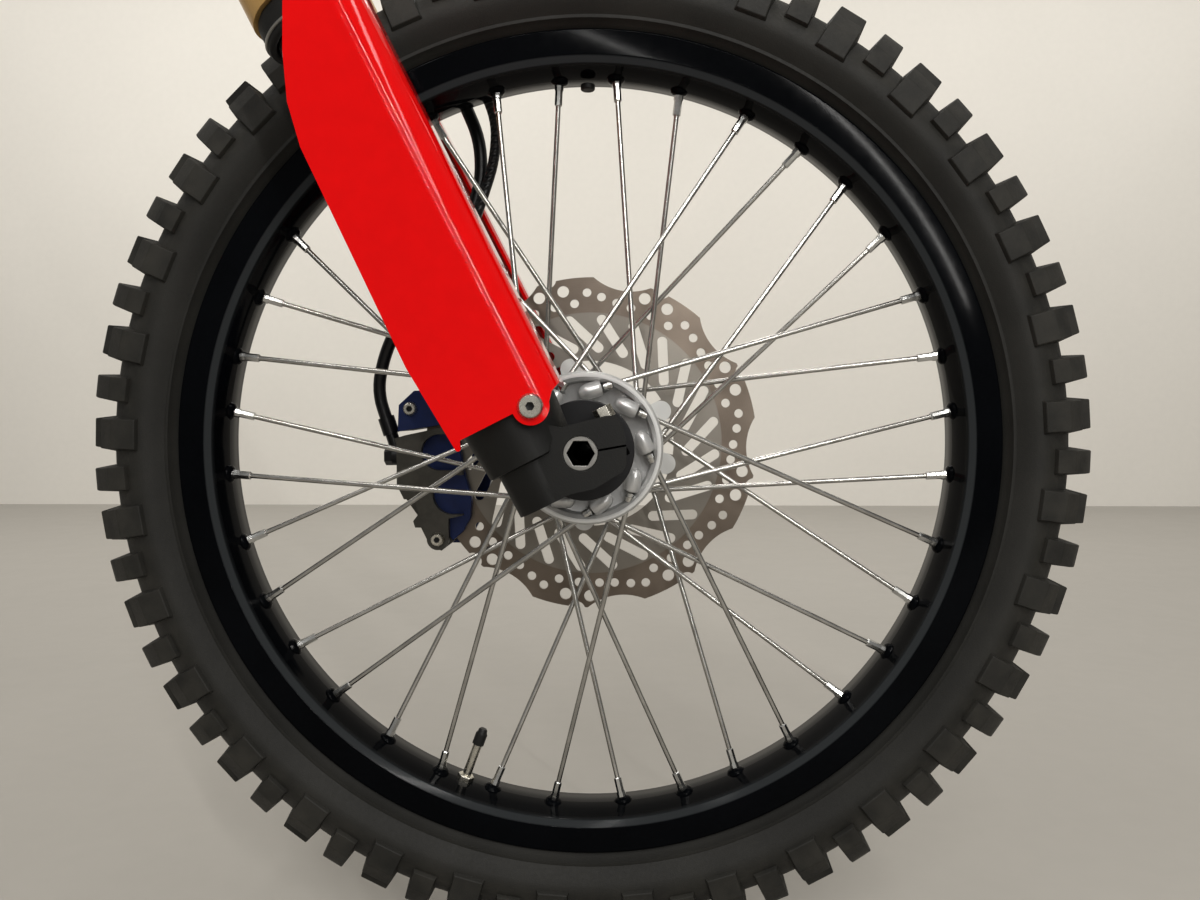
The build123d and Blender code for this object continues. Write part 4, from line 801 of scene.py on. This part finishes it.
@dataclass(frozen=True)
class Bolt:
    """A round bolt with a six-sided socket, along the axle's direction.

    Shank and head are each a radius and a length, and socket is the radius to its corners, in millimetres.
    The other values are shares of the head's height: height of the rounded edge, how far the side leans in,
    how far in the flat top starts, and the heights of the socket's floor at its wall and in its middle.
    """

    seat: Vector
    facing: int
    shank: Point
    head: Point
    socket: float
    rounding: float = 0.22
    lean: float = 0.2
    inset: float = 0.42
    floor_wall: float = 0.3
    floor_middle: float = 0.2

    def outline(self) -> list[Point]:
        """Radius and height of the bolt's profile, from the shank's end to the socket's floor."""
        shank_r, reach = self.shank
        head_r, height = self.head
        edge = height * self.rounding
        return [
            (0.0, -reach), (shank_r, -reach), (shank_r, 0.0), (head_r - 0.1, 0.0), (head_r, edge),
            (head_r - self.lean * height, height - edge), (head_r - self.inset * height, height),
            (self.socket, height), (self.socket, height * self.floor_wall),
            (0.0, height * self.floor_middle),
        ]

    def add(self, shape: Shape) -> None:
        """Add the bolt to a shape, its socket painted dark with the second finish as painted shade."""
        verts = shape.turned([(r * MM, z * MM) for r, z in self.outline()], 24)
        inner = [vert for vert in verts if vert.co.xy.length < self.socket * MM + HAIR and vert.co.z > 0]
        for vert in inner:
            if vert.co.xy.length > HAIR:
                turn = math.atan2(vert.co.y, vert.co.x) % (math.pi / 3) - math.pi / 6
                vert.co.xy *= math.cos(math.pi / 6) / math.cos(turn)
        shape.paint(inner, 1)
        turn = Matrix.Rotation(-self.facing * math.pi / 2, 4, "X")
        shape.place(verts, Matrix.Translation(self.seat) @ turn)


@dataclass
class Fasteners:
    """Bolts and pins along the axle's direction, in millimetres from the axle or along the legs."""

    disc_r: float = 60.0
    disc_angles: tuple[int, ...] = (-15, 25, 105, 145, 225, 265)
    slide_pins: tuple[tuple[float, float, float], ...] = ((-139.0, 27.0, 20.0), (-118.5, -74.0, 61.0))
    caliper_bolts: tuple[Point, ...] = ((-96.0, 37.0), (-81.0, 6.0))
    clamp_heights: tuple[float, ...] = (-46.5, -22.5, 176.5)

    def from_axle(self, ahead: float, y: float, above: float) -> Vector:
        """A place given in millimetres from the axle's middle."""
        return AXLE + Vector((ahead, y, above)) * MM

    def screw(self, name: str, body: Body, bolts: Iterable[Bolt]) -> None:
        """Make one piece of all the bolts that a node holds."""
        shape = Shape()
        for bolt in bolts:
            bolt.add(shape)
        shape.outwards()
        # The sockets wear the second, dark finish: painted shade.
        shape.piece(f"{name}_dressed", body, [Finishes.ZINC, Finishes.SPACER], [name])

    def build(self) -> None:
        """Make the bolts of guards, caliper, disc and clamps."""
        self.screw("guard_bolts", Body.FORK, [
            Bolt(self.from_axle(-26.6, side.value * 144.0, 26.4), side.value,
                 shank=(3.0, 11.5), head=(7.3, 3.5), socket=2.6)
            for side in Side])
        self.screw("caliper_pins", Body.FORK, [
            Bolt(self.from_axle(ahead, 55.0, above), -1, shank=(4.0, reach), head=(5.6, 4.0), socket=2.5)
            for ahead, above, reach in self.slide_pins])
        self.screw("caliper_bolts", Body.FORK, [
            Bolt(self.from_axle(ahead, 128.0, above), 1, shank=(4.0, 20.0), head=(6.5, 6.0), socket=3.2)
            for ahead, above in self.caliper_bolts])
        self.screw("disc_bolts", Body.WHEEL, [
            Bolt(self.from_axle(self.disc_r * math.cos(angle), 73.5, self.disc_r * math.sin(angle)), 1,
                 shank=(3.0, 3.0), head=(5.5, 3.0), socket=2.2)
            for angle in map(math.radians, self.disc_angles)])
        self.screw("clamp_bolts", Body.FORK, [
            Bolt((AHEAD * -22.5 + UP_LEG * height + LEFT * side.value * 122.0) * MM, side.value,
                 shank=(3.5, 28.0), head=(5.5, 6.0), socket=2.6)
            for height in self.clamp_heights for side in Side])


@dataclass
class HubAndDisc:
    """Hub, bearings, valve and the drilled brake disc."""

    edge: float = 0.0007
    seal_edge: float = 0.0006
    plug_edge: float = 0.0005
    valve_angle: float = 249.7
    well_r: float = 0.2522
    cap_r: float = 0.0044
    groove_share: float = 0.93

    def valve(self) -> None:
        """Valve: threaded stem and nut in plated brass, with a ribbed black cap."""
        shape = Shape()
        stem_outline = [(0.0, -0.0305), (0.0032, -0.0305), (0.0032, 0.004), (0.0, 0.004)]
        nut_outline = [(0.0, -0.0005), (0.0054, -0.0005), (0.0060, 0.0001), (0.0060, 0.004), (0.0, 0.004)]
        cap_outline = [
            (0.0, -0.0362), (0.0024, -0.0360), (0.0032, -0.0350), (0.0034, -0.0330), (self.cap_r, -0.0318),
            (self.cap_r, -0.0242), (0.0, -0.0242),
        ]
        stem = shape.turned(stem_outline, 16)
        nut = shape.turned(nut_outline, 6)
        cap = shape.turned(cap_outline, 20)
        ribs = [vert for vert in cap if abs(vert.co.xy.length - self.cap_r) < HAIR]
        for count, vert in enumerate(sorted(ribs, key=lambda vert: math.atan2(vert.co.y, vert.co.x))):
            if (count // 2) % 2:
                vert.co.xy *= self.groove_share
        shape.paint(cap, 1)
        shape.place(stem + nut + cap, radial_frame(math.radians(self.valve_angle), self.well_r))
        shape.outwards()
        shape.piece("valve_dressed", Body.WHEEL, [Finishes.ZINC, Finishes.CAP], ["valve"])

    def build(self) -> None:
        """Dress the middle of the wheel."""
        softened("hub", Body.WHEEL, Finishes.HUB, self.edge, 32.0)
        dress("brake_disc", Finishes.DISC)
        softened("hub_seals", Body.WHEEL, Finishes.SEAL, self.seal_edge)
        softened("rim_plug", Body.WHEEL, Finishes.SEAL, self.plug_edge)
        dress("wheel_bearings", Finishes.BEARING)
        self.valve()


@dataclass
class ForkLegs:
    """Fork feet, tubes, seals, caps and the red guards."""

    leg_y: float = 0.108
    lead: float = 0.028
    ring_r: float = 0.0292
    ring_wire_r: float = 0.0009
    ring_height: float = 0.2875
    edge: float = 0.0008
    axle_edge: float = 0.0004
    pinch_edge: float = 0.0005
    bore_r: float = 0.0081
    shank_top: float = 0.0215

    def spring_rings(self) -> None:
        """The wire rings round the dust seals."""
        shape = Shape()
        wire = [(self.ring_r + self.ring_wire_r * math.cos(turn), self.ring_wire_r * math.sin(turn))
                for turn in (math.tau * count / 8 for count in range(8))]
        for side in Side:
            verts = shape.lathe(wire, 64, UP)
            lift = Matrix.Translation(UP * self.ring_height)
            shape.place(verts, leg_frame(side, self.leg_y, self.lead) @ lift)
        shape.outwards()
        shape.piece("seal_rings", Body.FORK, [Finishes.STEEL])

    def build(self) -> None:
        """Dress both legs."""
        # Of each part: node, finish, width of the rounding, and the fold from which edges are rounded
        softened_parts = (
            ("fork_foot", Finishes.FOOT, 0.0016, 28.0),
            ("guard", Finishes.GUARD, self.edge, 40.0),
            ("outer_tube", Finishes.GOLD, 0.0010, 40.0),
            ("dust_seal", Finishes.SEAL, 0.0020, 40.0),
            ("fork_cap", Finishes.CLAMP, self.edge, 40.0),
            ("axle_spacer", Finishes.SPACER, self.edge, 40.0),
        )
        for side in Side:
            for node, finish, width, angle in softened_parts:
                softened(f"{node}_{side.word}", Body.FORK, finish, width, angle)
            dress(f"inner_tube_{side.word}", Finishes.CHROME)
        # Inside the bore the axle wears painted shade.
        softened("axle", Body.FORK, Finishes.STEEL, self.axle_edge,
                 second=(Finishes.PAINTED_SHADE, lambda point: (point - AXLE).xz.length < self.bore_r))
        softened("axle_nut", Body.FORK, Finishes.ZINC, self.edge)
        # The pinch bolts' shanks and the heads' undersides wear painted shade.
        softened("pinch_bolts", Body.FORK, Finishes.ZINC, self.pinch_edge,
                 second=(Finishes.PAINTED_SHADE, lambda point: (point - AXLE).z < self.shank_top))
        self.spring_rings()


@dataclass
class Brake:
    """Sliding caliper with its pads and bracket; its pins and bolts are made with the other fasteners."""

    cast_edge: float = 0.0014
    pad_edge: float = 0.0006

    def build(self) -> None:
        """Dress the brake."""
        softened("caliper", Body.FORK, Finishes.CALIPER, self.cast_edge, 28.0)
        softened("caliper_bracket", Body.FORK, Finishes.BRACKET, self.cast_edge, 28.0)
        softened("brake_pads", Body.FORK, Finishes.BRACKET, self.pad_edge, 30.0)


@dataclass
class Hoses:
    """Brake hose and sensor wire with their fittings."""

    clip_edge: float = 0.0005
    fitting_edge: float = 0.0006

    def build(self) -> None:
        """Dress the hoses and what holds them."""
        dress("brake_hose", Finishes.HOSE)
        dress("sensor_wire", Finishes.COIL)
        softened("hose_clip", Body.FORK, Finishes.CAP, self.clip_edge)
        softened("hose_fittings", Body.FORK, Finishes.SPACER, self.fitting_edge)
        softened("speed_sensor", Body.FORK, Finishes.CAP, self.fitting_edge)


@dataclass
class Head:
    """Clamps, stem and the stem's nut."""

    clamp_edge: float = 0.0012
    stem_edge: float = 0.0006
    nut_edge: float = 0.0008

    def build(self) -> None:
        """Dress the head."""
        softened("lower_clamp", Body.FORK, Finishes.CLAMP, self.clamp_edge, 30.0)
        softened("upper_clamp", Body.FORK, Finishes.CLAMP, self.clamp_edge, 30.0)
        softened("stem", Body.FORK, Finishes.STEEL, self.stem_edge)
        softened("stem_nut", Body.FORK, Finishes.ZINC, self.nut_edge)


@dataclass
class Studio:
    """Pale floor and backdrop, soft lights, and the camera at the photograph's place."""

    camera_offset: tuple[float, float, float] = (0.0210, -0.6280, 0.0201)
    pitch: float = -0.0362
    yaw: float = 0.0199
    focal_px: float = 888.2
    image_width_px: float = 1200.0
    sensor_mm: float = 36.0
    nearest: float = 0.01
    floor_drop: float = 0.3475
    stage_size: float = 12.0
    wall_y: float = 3.1
    wall_lift: float = 6.0
    wall_colour: Colour = (0.74, 0.71, 0.65)
    floor_colour: Colour = (0.38, 0.36, 0.325)
    patch_gain: float = 1.06
    lamp_colour: Colour = (1.0, 0.98, 0.95)
    world_strength: float = 0.33
    ceiling_size: Point = (0.10, 2.2)
    wash_size: Point = (0.4, 3.0)
    tube_distance: float = 2.4
    tube_lift: float = 0.35
    tube_length: float = 2.1

    def camera(self) -> None:
        """Set the camera at the photograph's view."""
        data = bpy.data.cameras.new("camera")
        data.sensor_fit = "HORIZONTAL"
        data.sensor_width = self.sensor_mm
        data.lens = self.focal_px / self.image_width_px * self.sensor_mm
        data.clip_start = self.nearest
        camera = bpy.data.objects.new("camera", data)
        bpy.context.scene.collection.objects.link(camera)
        turn = Matrix.Rotation(self.yaw, 4, "Z") @ Matrix.Rotation(math.pi / 2 + self.pitch, 4, "X")
        camera.matrix_world = Matrix.Translation(AXLE + Vector(self.camera_offset)) @ turn
        bpy.context.scene.camera = camera

    def surface(self, name: str, colour: Colour) -> bpy.types.Material:
        """A plain matt surface with very faint patches."""
        pale = tuple(min(1.0, part * self.patch_gain) for part in colour)
        return Finish(name, colour, pale, "", rough=(0.55, 0.7), patches=1.2, grain_scale=40.0,
                      grain_depth=0.0001).material()

    def sheet(self, name: str, matrix: Matrix, material: bpy.types.Material) -> None:
        """Add one flat stage surface."""
        shape = Shape()
        bmesh.ops.create_grid(shape.bm, x_segments=1, y_segments=1, size=self.stage_size, matrix=matrix)
        mesh = bpy.data.meshes.new(name)
        shape.bm.to_mesh(mesh)
        shape.bm.free()
        mesh.materials.append(material)
        obj = bpy.data.objects.new(name, mesh)
        bpy.context.scene.collection.objects.link(obj)

    def light(self, name: str, place: Vector, target: Vector, along: Vector, size: Point,
              power: float) -> None:
        """Add one oblong lamp.

        Args:
            name: The lamp's name.
            place: Where it stands, from the axle.
            target: What it faces, from the axle.
            along: Direction of its length.
            size: Its width and length.
            power: Watts.
        """
        data = bpy.data.lights.new(name, "AREA")
        data.shape = "RECTANGLE"
        data.size, data.size_y = size
        data.energy = power
        data.color = self.lamp_colour
        lamp = bpy.data.objects.new(name, data)
        bpy.context.scene.collection.objects.link(lamp)
        back = (place - target).normalized()
        across = along.cross(back).normalized()
        turn = Matrix((across, back.cross(across), back)).transposed().to_4x4()
        lamp.matrix_world = Matrix.Translation(AXLE + place) @ turn

    def tube(self, name: str, turn: float, width: float, power: float) -> None:
        """Add a long thin lamp whose reflection runs down the fork guards.

        Args:
            name: The lamp's name.
            turn: Radians from the right side towards the front, about the legs.
            width: Its width.
            power: Watts.
        """
        level = AHEAD * math.sin(turn) - LEFT * math.cos(turn)
        place = (level * math.cos(self.tube_lift) + UP_LEG * math.sin(self.tube_lift)) * self.tube_distance
        self.light(name, place, Vector(), UP_LEG, (width, self.tube_length), power)

    def stage(self) -> None:
        """Lay the floor and stand the backdrop."""
        floor_z = AXLE.z - self.floor_drop
        lay = Matrix.Translation(UP * floor_z)
        self.sheet("floor", lay, self.surface("floor_pale", self.floor_colour))
        middle = Vector((0.0, self.wall_y, floor_z + self.wall_lift))
        stand = Matrix.Translation(middle) @ Matrix.Rotation(math.pi / 2, 4, "X")
        self.sheet("backdrop", stand, self.surface("wall_pale", self.wall_colour))

    def world(self) -> None:
        """Fill the room with an even light."""
        world = bpy.data.worlds.new("studio")
        bpy.context.scene.world = world
        world.use_nodes = True
        background = world.node_tree.nodes["Background"]
        background.inputs["Color"].default_value = (*self.lamp_colour, 1.0)
        background.inputs["Strength"].default_value = self.world_strength

    def lamps(self) -> None:
        """Hang lamps over the object and before the wall, and stand two tubes beside the fork."""
        for name, place, power in (
            ("ceiling_rear", (-0.9, -1.3, 1.9), 10.0),
            ("ceiling_front", (1.0, -1.3, 1.9), 10.0),
            ("ceiling_far", (0.1, 0.8, 2.2), 12.0),
        ):
            self.light(name, Vector(place), Vector(), LEFT, self.ceiling_size, power)
        for name, x, power in (("wall_front", 2.0, 32.0), ("wall_rear", -1.8, 38.0)):
            target = Vector((x, self.wall_y, 0.6))
            self.light(name, Vector((x, 1.2, 2.2)), target, FORWARD, self.wash_size, power)
        self.tube("tube_front", 0.46, 0.032, 24.0)
        self.tube("tube_side", 0.22, 0.012, 11.0)

    def build(self) -> None:
        """Build the studio."""
        self.camera()
        self.stage()
        self.world()
        self.lamps()
        bpy.context.scene.view_settings.view_transform = "Standard"


def main() -> None:
    """Build every sub-assembly and the studio in order."""
    logging.basicConfig(level=logging.INFO, format="%(name)s %(message)s")
    feet = Lacing().build()
    Rim().build(feet)
    Tyre().build()
    HubAndDisc().build()
    ForkLegs().build()
    Fasteners().build()
    Brake().build()
    Hoses().build()
    Head().build()
    Studio().build()


if __name__ == "__main__":
    main()
